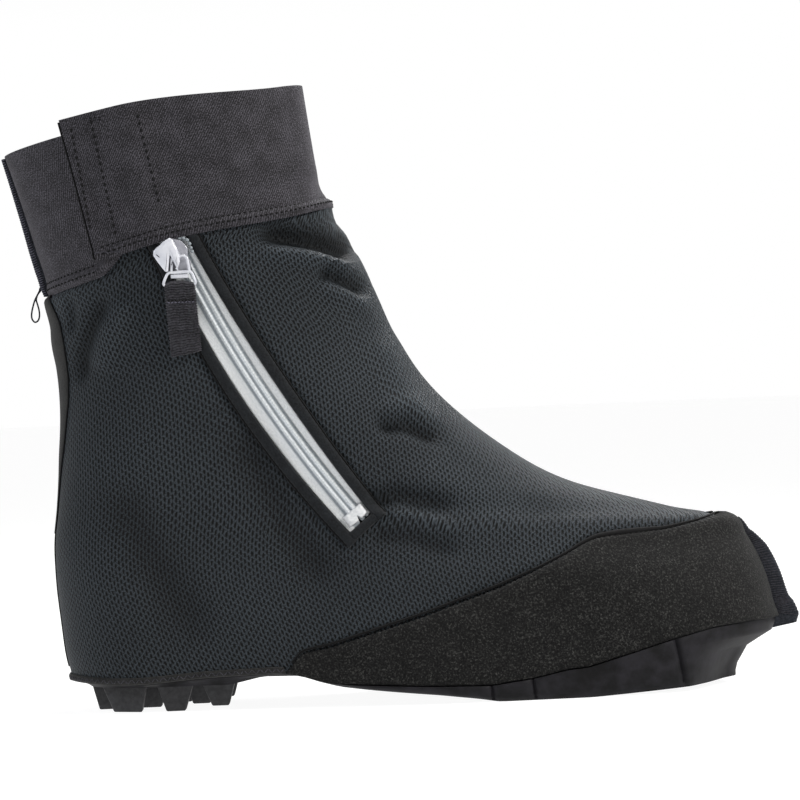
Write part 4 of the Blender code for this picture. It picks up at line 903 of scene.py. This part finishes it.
def makeWelt():
    # cloth strips beside the zip, joined around its lower end by a square corner
    width, thick, wall = zipSizes["weltWidth"], 0.0012, 0.0009
    endShare = 1.0 + zipSizes["weltEnd"] / zipLength
    profile = np.linspace(0, 1, 13)
    rise = 0.0002 + thick * smoothstep(profile / 0.16) * (1 - 0.75 * smoothstep((profile - 0.80) / 0.2))
    rise = rise + 0.00025 * bell(profile - 0.5, 0.25)
    shares = np.linspace(-0.085, endShare, 190)
    offsets = zipHalf(shares) - 0.0001 + profile[:, None] * width
    for name, side in (("weltRear", 1), ("weltFront", -1)):
        points = zipSheet(shares, side * offsets, rise[:, None])[::-side]
        piece = finishPiece(name, clothGrid(points, arcUv(points)), (weltTape,))
        addWall(piece, wall)
        if side > 0:
            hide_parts("zip_welt")
    ends = np.linspace(0, 1, 11)
    shares = 1.0 + ends * zipSizes["weltEnd"] / zipLength - 0.0004 / zipLength
    offsets = np.linspace(1, -1, 25)[:, None] * (zipHalf(shares) + 0.0004)
    points = zipSheet(shares, offsets, np.interp(ends, profile, rise) - 0.0001)
    addWall(finishPiece("weltEnd", clothGrid(points, arcUv(points)), (weltTape,)), wall)
    stitches = bmesh.new()
    shares = np.linspace(-0.05, endShare - 0.004, 260)
    for name, side in (("weltEdgeRear", 1), ("weltEdgeFront", -1)):
        offset = side * (zipHalf(shares) + width * 0.93)
        outs = normalAt(*zipTurnRow(shares, offset))
        runStitches(stitches, zipSheet(shares, offset, 0.00055), outs, 0.0024, 0.0017, 0.00026)
        edge = zipSheet(shares[::3], side * (zipHalf(shares[::3]) + width * 1.02), 0.0003)
        darkLine(name, edge, 0.00042)
    finishPiece("weltStitches", stitches, (darkThreadAndShadow,))


makeZipTape()
makeCoil()
makeStop()
makeWelt()
print("zip made")


# The slider and its pull
sliderSizes = {
    "plate": 0.0018, "base": 0.0011, "wire": 0.0006, "drop": 0.0118, "topWidth": 0.0070, "lowWidth": 0.0154,
    "tabWidth": 0.0128, "tabLength": 0.0305, "tabThickness": 0.0019, "tabLean": 0.0022, "ribPitch": 0.00105,
}
sliderTurn, sliderRow = zipTurnRow(zipSizes["slider"], 0.0)
origin = Vector(surfaceAt(sliderTurn, sliderRow))
sliderOut = Vector(normalAt(sliderTurn, sliderRow))
pivot = Vector((-0.089509, -0.049834, 0.19039)) - place  # on the pull's axis

# Outlines in the side view, in mm from the pull's axis: rightwards and up
hoodOutline = (
    (-4.0, 8.3), (-6.8, 6.8), (-8.2, 5.4), (-9.8, 4.2), (-11.0, 3.1), (-11.2, 1.2), (-9.4, -1.7), (-6.4, -5.9),
    (-5.2, -5.9), (-4.2, 1.2), (-1.5, -4.7), (-1.3, -4.9), (-0.1, -2.0), (-0.2, 0.6), (-0.9, 3.1), (-2.8, 7.5),
)
plateOutline = (
    (-4.4, 8.0), (-2.6, 7.9), (0.8, 6.8), (2.6, 4.6), (3.2, 3.4), (3.0, 0.6), (4.4, -2.6), (3.6, -5.6), (-0.6, -6.4),
    (-5.8, -5.6), (-8.8, -1.6), (-10.2, 1.4), (-9.6, 3.4), (-7.0, 6.2),
)
mouthOutline = ((-5.2, -6.1), (-4.3, 1.7), (-1.3, -5.1))
coilTips = (  # the coil's ends above the slider: rightwards, up and length
    (-0.4, 8.3, 2.6), (1.3, 8.2, 2.4), (2.9, 7.3, 2.2), (3.9, 5.7, 2.0), (4.4, 4.0, 1.8), (4.9, 2.4, 1.8),
)


def sliderSpot(right, up, height):
    # a spot over the slider's plate, given in the side view in mm from the pull's axis
    flat = Vector((pivot.x + right / 1000, origin.y, pivot.z + up / 1000)) - origin
    return origin + flat - sliderOut * flat.dot(sliderOut) + sliderOut * height


def raisedOutline(outline, low, high, rounding, dome=0.0):
    shape = bmesh.new()
    face = shape.faces.new([shape.verts.new(sliderSpot(right, up, low)) for right, up in outline])
    drawn = bmesh.ops.extrude_face_region(shape, geom=[face])
    top = [item for item in drawn["geom"] if isinstance(item, bmesh.types.BMFace)][0]
    bmesh.ops.translate(shape, verts=top.verts, vec=sliderOut * (high - low))
    if dome:
        bmesh.ops.inset_region(shape, faces=[top], thickness=0.0011, depth=dome, use_even_offset=True)
    bmesh.ops.recalc_face_normals(shape, faces=shape.faces)
    edges = [edge for edge in shape.edges if edge.is_manifold and edge.calc_face_angle(0) > 0.5]
    roundEdges(shape, edges, rounding)
    return shape


def makeSlider():
    low = sliderSizes["base"] + shoe["gap"]
    # the plate's grey is painted shade under the hood
    shape = raisedOutline(plateOutline, low, low + sliderSizes["plate"], 0.00035)
    plate = finishPiece("sliderPlate", shape, (lacquerWithPaintedShade,), angle=30)
    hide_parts("zip_slider")
    shape = raisedOutline(hoodOutline, low + 0.0006, low + 0.0040, 0.00040, dome=0.0006)
    finishPiece("sliderHood", shape, (lacquer,), angle=30)
    # the mouth: a dark piece in the hood's V opening, painted shade
    shape = raisedOutline(mouthOutline, low + 0.0012, low + 0.0022, 0.0001)
    finishPiece("sliderMouth", shape, (lacquerWithDeepPaintedShade,), angle=30)
    bridge, slots, tips = bmesh.new(), bmesh.new(), bmesh.new()
    addStitch(bridge, sliderSpot(-1.3, -0.4, low + 0.0030), (1, 0, 0.1), sliderOut, 0.0058, 0.00075, 1.0)
    finishPiece("sliderBridge", bridge, (lacquerWithPaintedShade,))
    # the two slots: charcoal marks over the hood, painted shade of the recesses
    for right, up, slant in ((-9.1, 0.8, -0.9), (-3.2, -2.4, 2.2)):
        addStitch(slots, sliderSpot(right, up, low + 0.0046), (1, 0, slant), sliderOut, 0.0026, 0.00022, 0.5)
    finishPiece("sliderSlots", slots, (charcoalThreadAndSlotShade,))
    for right, up, length in coilTips:
        addStitch(tips, sliderSpot(right, up, 0.0012), (0.8, 0, -0.6), sliderOut, length / 1000, 0.00085, 1.0)
    finishPiece("coilEnds", tips, (zipYarn,))


def roundedLoop(corners, bends, thick):
    # a closed wire around four corners, given in metres from the pull's axis
    path = []
    for index, corner in enumerate(corners):
        here = np.array(corner)
        before, after = np.array(corners[index - 1]) - here, np.array(corners[(index + 1) % 4]) - here
        before = before / np.linalg.norm(before) * bends[index]
        after = after / np.linalg.norm(after) * bends[index]
        for part in np.linspace(0, 1, 9):
            spot = here + before * (1 - part) ** 2 + after * part**2
            path.append(pivot + Vector((spot[0], 0.0, spot[1])))
    return tubeAlong(path, [thick] * len(path), closed=True)


def makePull():
    top, low, drop = sliderSizes["topWidth"] / 2, sliderSizes["lowWidth"] / 2, sliderSizes["drop"]
    neck = roundedLoop(((-top, 0.0002), (0.0026, 0.0008), (0.0036, -0.0062), (-0.0040, -0.0064)),
                       (0.0014, 0.0022, 0.0010, 0.0010), sliderSizes["wire"] * 0.95)
    piece = finishPiece("pullBail", neck, (lacquer,), body="zip_pull")
    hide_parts("pull_ring")
    ring = roundedLoop(((-0.0056, -0.0063), (0.0042, -0.0059), (low - 0.0012, -drop), (-low - 0.0004, -drop)),
                       (0.0014, 0.0014, 0.0024, 0.0024), sliderSizes["wire"])
    finishPiece("pullRing", ring, (lacquer,), body="zip_pull")
    shape = bmesh.new()
    made = bmesh.ops.create_cube(shape, size=1.0)["verts"]
    bmesh.ops.scale(shape, verts=made, vec=(0.0075, 0.0008, 0.0017))
    bmesh.ops.translate(shape, verts=made, vec=pivot + Vector((-0.0006, 0.0003, -0.0079)))
    roundEdges(shape, shape.edges, 0.0003, 2)
    finishPiece("pullPlate", shape, (lacquer,), body="zip_pull")


def makeWebbing():
    # the webbing tab: a folded ribbon with a rib every millimetre, its edges a little uneven
    width, length, thick = sliderSizes["tabWidth"], sliderSizes["tabLength"], sliderSizes["tabThickness"]
    drop = sliderSizes["drop"]
    fold = sliderSizes["wire"] + shoe["gap"] + thick / 2
    run, columns = np.linspace(0, 1, 150)[:, None], np.linspace(-1, 1, 33)
    beat = fullTurn * run * length / sliderSizes["ribPitch"]
    head = 0.0002  # the webbing's fold starts above the ring's lower bar
    z = -drop + fold + head - run * (length + head)
    middle = np.where(run < 0.33, np.sqrt(np.maximum(0, 1 - np.clip((z + drop) / fold, 0, 1) ** 2)), 1.0)
    half = thick / 2 + (fold - thick / 2) * smoothstep(1 - run / 0.30) * middle
    half = half * np.where(z > -drop, np.maximum(middle, 0.25), 1.0)
    deep = half * (1 - 0.55 * np.abs(columns) ** 10) + 0.00034 * np.cos(beat) * (run > 0.03)
    lean = sliderSizes["tabLean"] * smoothstep((run - 0.33) / 0.67) + 0.00010 * np.sin(run * 31 + columns * 2.2)
    jags = 0.00022 * np.sin(beat) * np.sign(columns) * np.abs(columns) ** 8
    x = columns * (width / 2) + jags - 0.0009 + 0.0017 * run
    slant = 0.0011 * columns * smoothstep((run - 0.5) / 0.5)
    arch = -0.0014 * np.abs(columns) ** 3 * (1 - smoothstep(run / 0.12))
    z = z + 0.00018 * np.sin(columns * 9) + slant + arch
    front, back = (np.stack((x, lean + face * deep, z), axis=-1) + np.array(pivot) for face in (-1, 1))
    around = np.concatenate((front, back[:, ::-1], front[:, :1]), axis=1)
    shape = clothGrid(around[::-1], arcUv(around)[::-1])
    closeEnds(shape)
    piece = finishPiece("pullWebbing", shape, (webbing,), body="zip_pull", angle=70)
    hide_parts("pull_tab")
    columns = np.linspace(-0.9, 0.9, 20)
    rows = (("pullTabStitches", 0.0, 0.00042, darkThreadAndShadow), ("pullTabThreads", 0.0008, 0.00030, ladderThread))
    for name, lower, radius, thread in rows:
        spots = np.broadcast_arrays(columns * width / 2 - 0.0005, -thick / 2 - 0.0006, -drop - 0.0062 - lower)
        stitches = bmesh.new()
        runStitches(stitches, np.array(pivot) + np.stack(spots, axis=-1), np.tile((0.0, -1.0, 0.0), (20, 1)),
                    0.0013, 0.0012, radius, zigzag=0.35)
        finishPiece(name, stitches, (thread,), body="zip_pull")


makeSlider()
makePull()
makeWebbing()
print("slider and pull made")


# The rand around the forefoot
randSizes = {
    "rear": 0.0985, "thickness": 0.0011, "columns": 760, "levels": 34, "zigzag": 0.00032, "pitch": 0.0024,
    "rowHeight": 0.0125, "seamMargin": 24,
}


def hemTurn(x):
    # where the hem's outer side shows x
    hem = rings[0]
    return math.acos(1 - 2 * (x - hem[0]) / (hem[2] - hem[0]))


def makeRand():
    start = hemTurn(randSizes["rear"])
    turns = np.linspace(start, fullTurn - start, randSizes["columns"] + 1)

    def isBelow(row):
        point = surfaceAt(turns, row)
        return point[:, 2] < lineHeight(randLine, point[:, 0], "toeHeight")

    top = findRow(isBelow, turns.shape, 8.0)
    arc = arcLength(surfaceAt(turns, top))
    saw = np.abs((arc / randSizes["pitch"]) % 1 - 0.5) * 2 - 0.5
    parts = np.linspace(0, 1, randSizes["levels"] + 1)[:, None] ** 0.9
    rows = parts * (top + saw * randSizes["zigzag"] / randSizes["rowHeight"] * 1.6)
    distance = (1 - parts) * np.maximum(top, 0.3) * randSizes["rowHeight"]
    roll = smoothstep(distance / 0.0022) * smoothstep(np.minimum(arc, arc[-1] - arc) / 0.0020)
    out = 0.0004 + randSizes["thickness"] * (0.35 + 0.65 * roll) - 0.0004 * bell(turns - math.pi, 0.02)
    points = skinAt(turns, rows, out)
    piece = finishPiece("randNeoprene", clothGrid(points, arcUv(points)), (neoprene,))
    addWall(piece, 0.0009)
    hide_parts("toe_rand")
    stitches = bmesh.new()
    toe, margin = len(turns) // 2, randSizes["seamMargin"]
    for name, pick in (("Outer", slice(4, toe - margin)), ("Inner", slice(toe + margin, len(turns) - 4))):
        path = skinAt(turns[pick], top[pick] + 0.05, -0.0005)
        runStitches(stitches, path, normalAt(turns[pick], top[pick]), 0.0022, 0.0022, 0.00034, zigzag=0.6)
        # a dark line along the rand's seam, widest where the gap is deepest: painted shadow of the rand's upper edge
        width = 0.00050 + 0.00085 * bell(path[:, 0] / shoe["length"] - 0.785, 0.055)
        path = skinAt(turns[pick], top[pick] + 0.10, 0.0001)
        darkLine("randSeamShadow" + name, path[::3], width[::3])
    finishPiece("randSeamThread", stitches, (darkThreadAndShadow,))


makeRand()


# Seams that stand on edge
def finGrid(inner, outer, thickness, ribPitch, rib):
    # a band on edge: points around its section by station, with thread ribs over its rim
    deep = np.linalg.norm(outer - inner, axis=1)[:, None]
    away = (outer - inner) / deep
    arc = arcLength((inner + outer) / 2)
    flat = 0.86  # of the section's depth; the rest is the round rim
    sides = np.linspace(0, flat, 7)
    rim = np.linspace(-math.pi / 2, math.pi / 2, 7)[1:-1]
    section = [(part, -1.0) for part in sides]
    section += [(flat + (1 - flat) * math.cos(angle), math.sin(angle)) for angle in rim]
    section += [(part, 1.0) for part in sides[::-1]]
    points = []
    for part, side in section + section[:1]:
        beat = np.cos(fullTurn * (arc / ribPitch + part * 0.35 * side))
        spot = inner + away * deep * part + away * (0.00012 * beat * smoothstep((part - 0.7) / 0.3))[:, None]
        spot[:, 1] += side * thickness / 2 * (1 + rib * beat * smoothstep(part / 0.3))
        points.append(spot)
    return np.array(points), arc


def finishFin(name, points):
    shape = clothGrid(points, arcUv(points))
    closeEnds(shape)
    return finishPiece(name, shape, (overlock,), angle=70)


def makeBackSeam():
    low, high = 12.88, 15.97
    rows = np.linspace(low, high, 240)
    depth = 0.0010 * np.interp(rows, (low, 13.1, 13.5, 14.0, 15.0, high), (2.6, 3.8, 4.1, 3.8, 3.2, 2.4))
    lean = 0.0019 + 0.0021 * (np.maximum(rows - 13.06, 0) / 2.91) ** 2
    inner = skinAt(0.0, rows, lean, folds=False)
    outer = skinAt(0.0, rows, lean + depth, folds=False)
    points, _ = finGrid(inner, outer, 0.0022, 0.00105, 0.20)
    piece = finishFin("cuffBackSeam", points)
    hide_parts("back_seam")
    threads = bmesh.new()
    for row in np.linspace(12.93, 15.94, 61):
        reach, base = np.interp(row, rows, depth), np.interp(row, rows, lean)
        for side in (-1, 1):
            spot = skinAt(0.0, row, base + 0.66 * reach, folds=False)
            spot[1] += side * 0.00125
            along = normalAt(0.0, row) + np.array((0.0, 0.0, 0.18 * side))
            addStitch(threads, spot, along, (0, side, 0), 0.70 * reach, 0.00024)
    finishPiece("cuffBackThreads", threads, (ladderThread,))
    for name, turn in (("cuffBackCreaseShadeInner", -0.030), ("cuffBackCreaseShadeOuter", 0.030)):
        # painted shade: dark lines in the crease where the fin leaves the band
        spots = surfaceAt(turn, rows[::4]) + normalAt(0.0, rows[::4]) * (lean[::4, None] + 0.0002)
        darkLine(name, spots, 0.00034)


def makeToeSeam():
    rowTable = (4.75, 4.2, 3.7, 3.2, 2.6, 2.0, 1.5, 1.0, 0.5, 0.0)
    depthTable = (0.05, 0.30, 0.52, 0.72, 0.82, 0.88, 0.92, 0.98, 1.10, 1.20)
    knots = np.linspace(0, 9, 150)
    rows = np.interp(knots, range(10), rowTable)
    depth = 0.0075 * np.interp(knots, range(10), depthTable)
    inner = skinAt(math.pi, rows, -0.0008, folds=False)
    outer = skinAt(math.pi, rows, depth + 0.0014, folds=False)
    # its tail slants back below the rand
    tail = np.linspace(0, 1, 16)[1:, None]
    inner = np.concatenate((inner, inner[-1] + np.array((-0.0062, 0, -0.0066)) * tail))
    outer = np.concatenate((outer, outer[-1] + np.array((-0.0012, 0, -0.0036)) * tail))
    points, arc = finGrid(inner, outer, 0.0026, 0.00125, 0.12)
    wander = 0.0006 * np.sin(arc * 160)
    points[..., 1] += wander
    piece = finishFin("toeSeamOverlock", points)
    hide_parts("toe_seam")
    threads = bmesh.new()
    for index in range(4, 150, 3):
        reach = outer[index] - inner[index]
        along = reach + (inner[index + 4] - inner[index]) * 1.2
        for side in (-1, 1):
            spot = inner[index] * 0.45 + outer[index] * 0.55
            spot[1] += side * 0.00140 + wander[index]
            addStitch(threads, spot, along, (0, side, 0), np.linalg.norm(reach) * 0.9 + 0.0008, 0.00020)
    finishPiece("toeSeamThreads", threads, (charcoalThreadAndSlotShade,))


makeBackSeam()
makeToeSeam()
print("rand and seams made")


# Back tape and heel hem
def rowAtHeight(turns, heights):
    return findRow(lambda row: surfaceAt(turns, row)[..., 2] < heights, turns.shape, 14.0, steps=24)


def makeBackTape():
    # the tape narrows to a point, and one seam runs on from there to the heel
    table = (  # height, and how far forward the tape's edge shows, in mm
        (70.0, 2.4), (84.0, 3.2), (100.0, 4.9), (116.0, 7.0), (133.0, 9.3), (141.5, 9.7), (158.6, 8.8),
        (167.3, 7.4), (182.0, 4.6),
    )
    foot = 0.0760
    heights = np.linspace(foot, 0.1818, 80)
    edge, _ = turnRowAt(np.interp(heights * 1000, *zip(*table)) / 1000, heights)
    edge = edge * (0.03 + 0.97 * smoothstep((heights - foot) / 0.0420))
    parts = np.linspace(-1, 1, 41)
    turns = edge[:, None] * parts
    rows = rowAtHeight(turns, heights[:, None])
    points = skinAt(turns, rows, 0.0003 + 0.0007 * (1 - np.abs(parts) ** 12))
    piece = finishPiece("backTape", clothGrid(points, arcUv(points)), (trimTape,))
    addWall(piece, 0.0006)
    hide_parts("back_tape")
    low = np.linspace(0.0190, 0.0775, 60)
    seams = (("backSeamOuter", edge, heights), ("backSeamInner", -edge, heights), ("backSeamLower", 0 * low, low))
    for name, line, levels in seams:
        darkLine(name, skinAt(line, rowAtHeight(line, levels), 0.00030), 0.00042)


def makeHeelHem():
    last = hemTurn(0.0975)
    turns = np.linspace(-last, last, 260)
    parts = np.linspace(0, 1, 13)[:, None]
    flare = 0.0010 * bell(turns, 0.12) * (1 - parts) ** 2
    points = skinAt(turns, parts * 0.30, 0.0003 + 0.0008 * np.sin(parts * math.pi) ** 0.5 + flare)
    piece = finishPiece("heelHemTape", clothGrid(points, arcUv(points)), (trimTape,))
    addWall(piece, 0.0005)
    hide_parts("heel_hem")
    stitches = bmesh.new()
    path = skinAt(turns, 0.15, 0.00125)
    runStitches(stitches, path, normalAt(turns, 0.15), 0.0017, 0.0026, 0.00022, zigzag=1.1)
    finishPiece("heelHemStitches", stitches, (charcoalThreadAndSlotShade,))


makeBackTape()
makeHeelHem()


# The loose thread loop at the foot of the cuff's back seam
def makeThreadLoop():
    path = (
        (-2.3, 0.0, 181.6), (-2.6, -0.4, 180.2), (-3.6, -0.7, 178.4), (-4.7, -0.8, 176.3), (-5.6, -0.9, 173.6),
        (-6.3, -0.8, 170.6), (-6.2, -0.7, 168.4), (-5.1, -0.5, 167.0), (-3.8, -0.3, 167.5), (-3.1, 0.0, 169.2),
        (-3.1, 0.2, 171.8), (-3.7, 0.5, 174.5), (-4.2, 0.7, 176.6), (-3.5, 0.8, 178.8), (-2.2, 0.7, 180.4),
        (-1.6, 0.5, 181.8),
    )
    curve = bpy.data.curves.new("threadLoop", "CURVE")
    curve.dimensions = "3D"
    curve.bevel_depth = 0.00036
    curve.bevel_resolution = 3
    knots = np.array(path) / 1000 + np.array(place)
    padded = np.concatenate((knots[:1], knots, knots[-1:]))
    dense = []
    for p0, p1, p2, p3 in zip(padded, padded[1:], padded[2:], padded[3:]):
        for part in (0.0, 0.33, 0.67):
            dense.append(0.5 * (2 * p1 + (p2 - p0) * part + (2 * p0 - 5 * p1 + 4 * p2 - p3) * part**2
                                + (3 * p1 - p0 - 3 * p2 + p3) * part**3))
    dense.append(knots[-1])
    spline = curve.splines.new("POLY")
    spline.points.add(len(dense) - 1)
    for point, spot in zip(spline.points, dense):
        point.co = (*spot, 1.0)
    curve.materials.append(overlock)
    loop = linkObject("threadLoop", curve)
    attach(loop, "shoe")
    length = float(arcLength(np.array(dense))[-1])


makeThreadLoop()
print("tapes, hem and thread made")


# The sole
soleSizes = {
    "heelInset": 0.0075, "proud": 0.0024, "notch": 0.0180, "foreStart": 0.355, "foreFull": 0.440,
    "notchStart": 0.845, "notchFull": 0.975, "flexDepth": 0.0017, "flexWidth": 0.0009, "guideDepth": 0.0025,
    "guidePlace": 0.015, "guideWidth": 0.0032, "lugDepth": 0.012, "middleWidth": 0.010, "lugInset": 0.0010,
    "lugTaper": 0.002, "lugTop": 0.0125,
}
# share of the length, and how far the line leans forward
flexLines = ((0.594, 0.0010), (0.650, 0.0015), (0.845, 0.0045))
sideLevels = (  # rise, heel, fore, toe
    (0.00, 1.00, -0.35, 1.00), (0.08, 0.98, 0.10, 1.00), (0.22, 0.94, 0.55, 0.95), (0.52, 0.80, 0.92, 0.70),
    (0.66, 0.70, 1.02, 0.38), (0.78, 0.62, 1.05, 0.10), (0.92, 0.53, 1.02, 0.02), (1.00, 0.50, 0.90, 0.02),
)
# the lugs' rear and front as shares of the length, at the top and at the foot, and the foot's lift
sideLugs = (
    (0.058, 0.124, 0.076, 0.116, 0.0), (0.137, 0.189, 0.150, 0.176, 0.0), (0.199, 0.246, 0.213, 0.236, 0.12),
)
middleLugs = (
    (0.042, 0.084, 0.052, 0.076, 0.0), (0.102, 0.150, 0.112, 0.138, 0.0), (0.170, 0.218, 0.182, 0.206, 0.06),
)


def soleTurns():
    # stations around the sole, closer at the flex lines
    base = list(np.linspace(0, math.pi, 140))
    for share, _ in flexLines:
        for shift in (-0.0016, -0.0009, -0.00045, 0.0, 0.00045, 0.0009, 0.0016):
            base.append(hemTurn(share * shoe["length"] + shift))
    base.sort()
    kept = base[:1]
    for value in base[1:]:
        if value - kept[-1] > 0.0012:
            kept.append(value)
    kept[-1] = math.pi
    return np.array(kept + [fullTurn - value for value in reversed(kept[1:-1])] + [fullTurn])


def makeSole():
    turns = soleTurns()
    hem = surfaceAt(turns, 0.0)
    shares = hem[:, 0] / shoe["length"]
    fore = smoothstep((shares - soleSizes["foreStart"]) / (soleSizes["foreFull"] - soleSizes["foreStart"]))
    toe = smoothstep((shares - soleSizes["notchStart"]) / (soleSizes["notchFull"] - soleSizes["notchStart"]))
    slope = (rings[0][2] - rings[0][0]) / 2 * np.abs(np.sin(turns)) + 0.004
    table = np.array(sideLevels)
    around = []
    for spot in np.linspace(0, len(table) - 1, 22):
        rise, heel, front, notch = (np.interp(spot, range(len(table)), values) for values in table.T)
        out = -heel * soleSizes["heelInset"] * (1 - fore) + front * soleSizes["proud"] * fore
        out = out * (1 - toe) - notch * soleSizes["notch"] * toe
        shifted = turns.copy()
        for share, lean in flexLines:
            ahead = hem[:, 0] - share * shoe["length"]
            shifted += np.where(np.sin(turns) > 0, 1, -1) * bell(ahead, 0.008) * lean * (1 - rise) / slope
            out = out - soleSizes["flexDepth"] * bell(ahead, soleSizes["flexWidth"]) * smoothstep(rise / 0.15)
        edge = skinAt(shifted, 0.0, out, folds=False)
        bottom = lineHeight(soleLine, edge[:, 0], "soleHeight")
        ledge = lineHeight(hemLine, edge[:, 0], "soleHeight") - 0.0005
        edge[:, 2] = bottom + (ledge - bottom) * rise
        around.append(edge)

    def crossRings(edge, parts):
        middle = centreLine(edge[:, 0])
        made = [edge.copy() for _ in parts]
        for ring, part in zip(made, parts):
            ring[:, 1] = middle + (edge[:, 1] - middle) * part
        return made

    under = crossRings(around[0], (0.0, 0.1, 0.19, 0.21, 0.33, 0.42, 0.44, 0.6, 0.8, 0.93, 0.99))
    within = smoothstep((shares - 0.46) / 0.02) * smoothstep((0.90 - shares) / 0.02)
    for ring in under:
        beside = np.abs(ring[:, 1] - centreLine(ring[:, 0])) - soleSizes["guidePlace"]
        guide = np.exp(-(beside / soleSizes["guideWidth"]) ** 6)
        ring[:, 2] = lineHeight(soleLine, ring[:, 0], "soleHeight") + soleSizes["guideDepth"] * guide * within
    over = crossRings(around[-1], (0.93, 0.6, 0.3, 0.0))
    shape = clothGrid(np.array(under + around + over))
    bmesh.ops.remove_doubles(shape, verts=shape.verts, dist=0.00002)
    bmesh.ops.dissolve_degenerate(shape, edges=shape.edges, dist=0.00001)
    bmesh.ops.recalc_face_normals(shape, faces=shape.faces)
    piece = finishPiece("soleRubber", shape, (rubber,), angle=42)
    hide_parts("outsole")


def soleEdge(x, side):
    # the sole's edge at the heel; side is -1 on the outer side
    turns = np.linspace(0.05, math.pi - 0.4, 160)
    points = skinAt(turns if side < 0 else fullTurn - turns, 0.0, -soleSizes["heelInset"], folds=False)
    return float(np.interp(x, points[:, 0], points[:, 1]))


def addLug(shape, low, high):
    made = bmesh.ops.create_cube(shape, size=1.0)["verts"]
    order = sorted(made, key=lambda vert: (vert.co.z, vert.co.y, vert.co.x))
    for vert, spot in zip(order, (*low, *high)):
        vert.co = spot


def makeLugs():
    shape = bmesh.new()
    length, taper, top = shoe["length"], soleSizes["lugTaper"], soleSizes["lugTop"]
    for side in (-1, 1):
        for topRear, topFront, footRear, footFront, lift in sideLugs:
            spots = []
            foot = lift * shoe["soleHeight"]
            for rear, front, z, slope in ((footRear, footFront, foot, taper), (topRear, topFront, top, 0.0)):
                edges = []
                for x in (rear, front):
                    first = soleEdge(x * length, side) - side * (slope + soleSizes["lugInset"])
                    edges.append(sorted((first, first - side * (soleSizes["lugDepth"] - 2 * slope))))
                spots.append([(x * length, y, z) for ys in zip(*edges) for x, y in zip((rear, front), ys)])
            addLug(shape, *spots)
    for topRear, topFront, footRear, footFront, lift in middleLugs:
        wide, narrow = soleSizes["middleWidth"] / 2, soleSizes["middleWidth"] / 2 - taper
        foot = lift * shoe["soleHeight"]
        addLug(shape, [(x * length, y, foot) for y in (-narrow, narrow) for x in (footRear, footFront)],
               [(x * length, y, top) for y in (-wide, wide) for x in (topRear, topFront)])
    bmesh.ops.recalc_face_normals(shape, faces=shape.faces)
    roundEdges(shape, shape.edges, 0.0006)
    finishPiece("heelLugs", shape, (lugRubber,), angle=35)


makeSole()
makeLugs()
nodes["insole"].data.materials.clear()
nodes["insole"].data.materials.append(felt)
print("sole made")


# Camera, lights and floor
view = {"point": (0.150, -1.600, 0.1271), "roll": 2.404, "lens": 167.8}


def makeCamera():
    data = bpy.data.cameras.new("camera")
    data.lens = view["lens"]
    data.clip_start, data.clip_end = 0.05, 40.0
    camera = linkObject("camera", data)
    roll = math.radians(view["roll"])
    right = Vector((math.cos(roll), 0, -math.sin(roll)))
    up = Vector((math.sin(roll), 0, math.cos(roll)))
    facing = Matrix((right, up, right.cross(up))).transposed().to_4x4()
    camera.matrix_world = Matrix.Translation(Vector(view["point"]) + place) @ facing
    bpy.context.scene.camera = camera


def makeStage():
    # a wide table of lit white acrylic, so that the ground stays as pale as the sky
    acrylic, tree, shader = startMaterial("litWhiteAcrylic", {
        "Roughness": 0.9, "Specular IOR Level": 0.05, "Emission Strength": 0.93,
        "Emission Color": hexColour("#ffffff")})
    cloud = noise(tree, objectPoint(tree), 3.0)
    tree.links.new(colourRamp(tree, cloud, ((0.3, "#7c7c7c"), (0.7, "#848484"))), shader.inputs["Base Color"])
    shape = bmesh.new()
    bmesh.ops.create_circle(shape, cap_ends=True, segments=96, radius=60.0)
    bmesh.ops.recalc_face_normals(shape, faces=shape.faces)
    mesh = bpy.data.meshes.new("studioTable")
    shape.to_mesh(mesh)
    shape.free()
    mesh.materials.append(acrylic)
    table = linkObject("studioTable", mesh)


def addLight(name, energy, size, spot, target, colour="#ffffff"):
    data = bpy.data.lights.new(name, "AREA")
    data.energy = energy
    data.size = size
    data.color = hexColour(colour)[:3]
    lamp = linkObject(name, data)
    lamp.location = spot
    lamp.rotation_mode = "QUATERNION"
    lamp.rotation_quaternion = (Vector(target) - Vector(spot)).to_track_quat("-Z", "Y")


def makeLight():
    # a white horizon that dims overhead, where the lamps hang
    world = bpy.data.worlds.new("studioWorld")
    world.use_nodes = True
    tree = world.node_tree
    sky = addNode(tree, "ShaderNodeTexCoord").outputs["Generated"]
    up = addNode(tree, "ShaderNodeSeparateXYZ", None, {0: sky}).outputs["Z"]
    ground = tree.nodes["Background"]
    ground.inputs["Color"].default_value = (1.0, 1.0, 1.0, 1.0)
    tree.links.new(mapRange(tree, up, 0.10, 0.26, 1.0, 0.12, "SMOOTHSTEP"), ground.inputs["Strength"])
    bpy.context.scene.world = world
    bpy.context.scene.view_settings.view_transform = "Standard"  # keeps white white
    middle = (0.0, 0.0, 0.12)
    addLight("key", 32.0, 0.45, (1.5, -0.8, 1.3), middle, "#fffcf8")
    addLight("top", 24.0, 0.6, (0.2, 0.1, 1.6), middle)
    addLight("heelSide", 11.0, 0.5, (-1.7, -0.5, 0.9), middle, "#f3f7ff")
    addLight("rim", 14.0, 0.6, (0.6, 1.4, 1.2), middle)


makeCamera()
makeStage()
makeLight()
print("stage made")
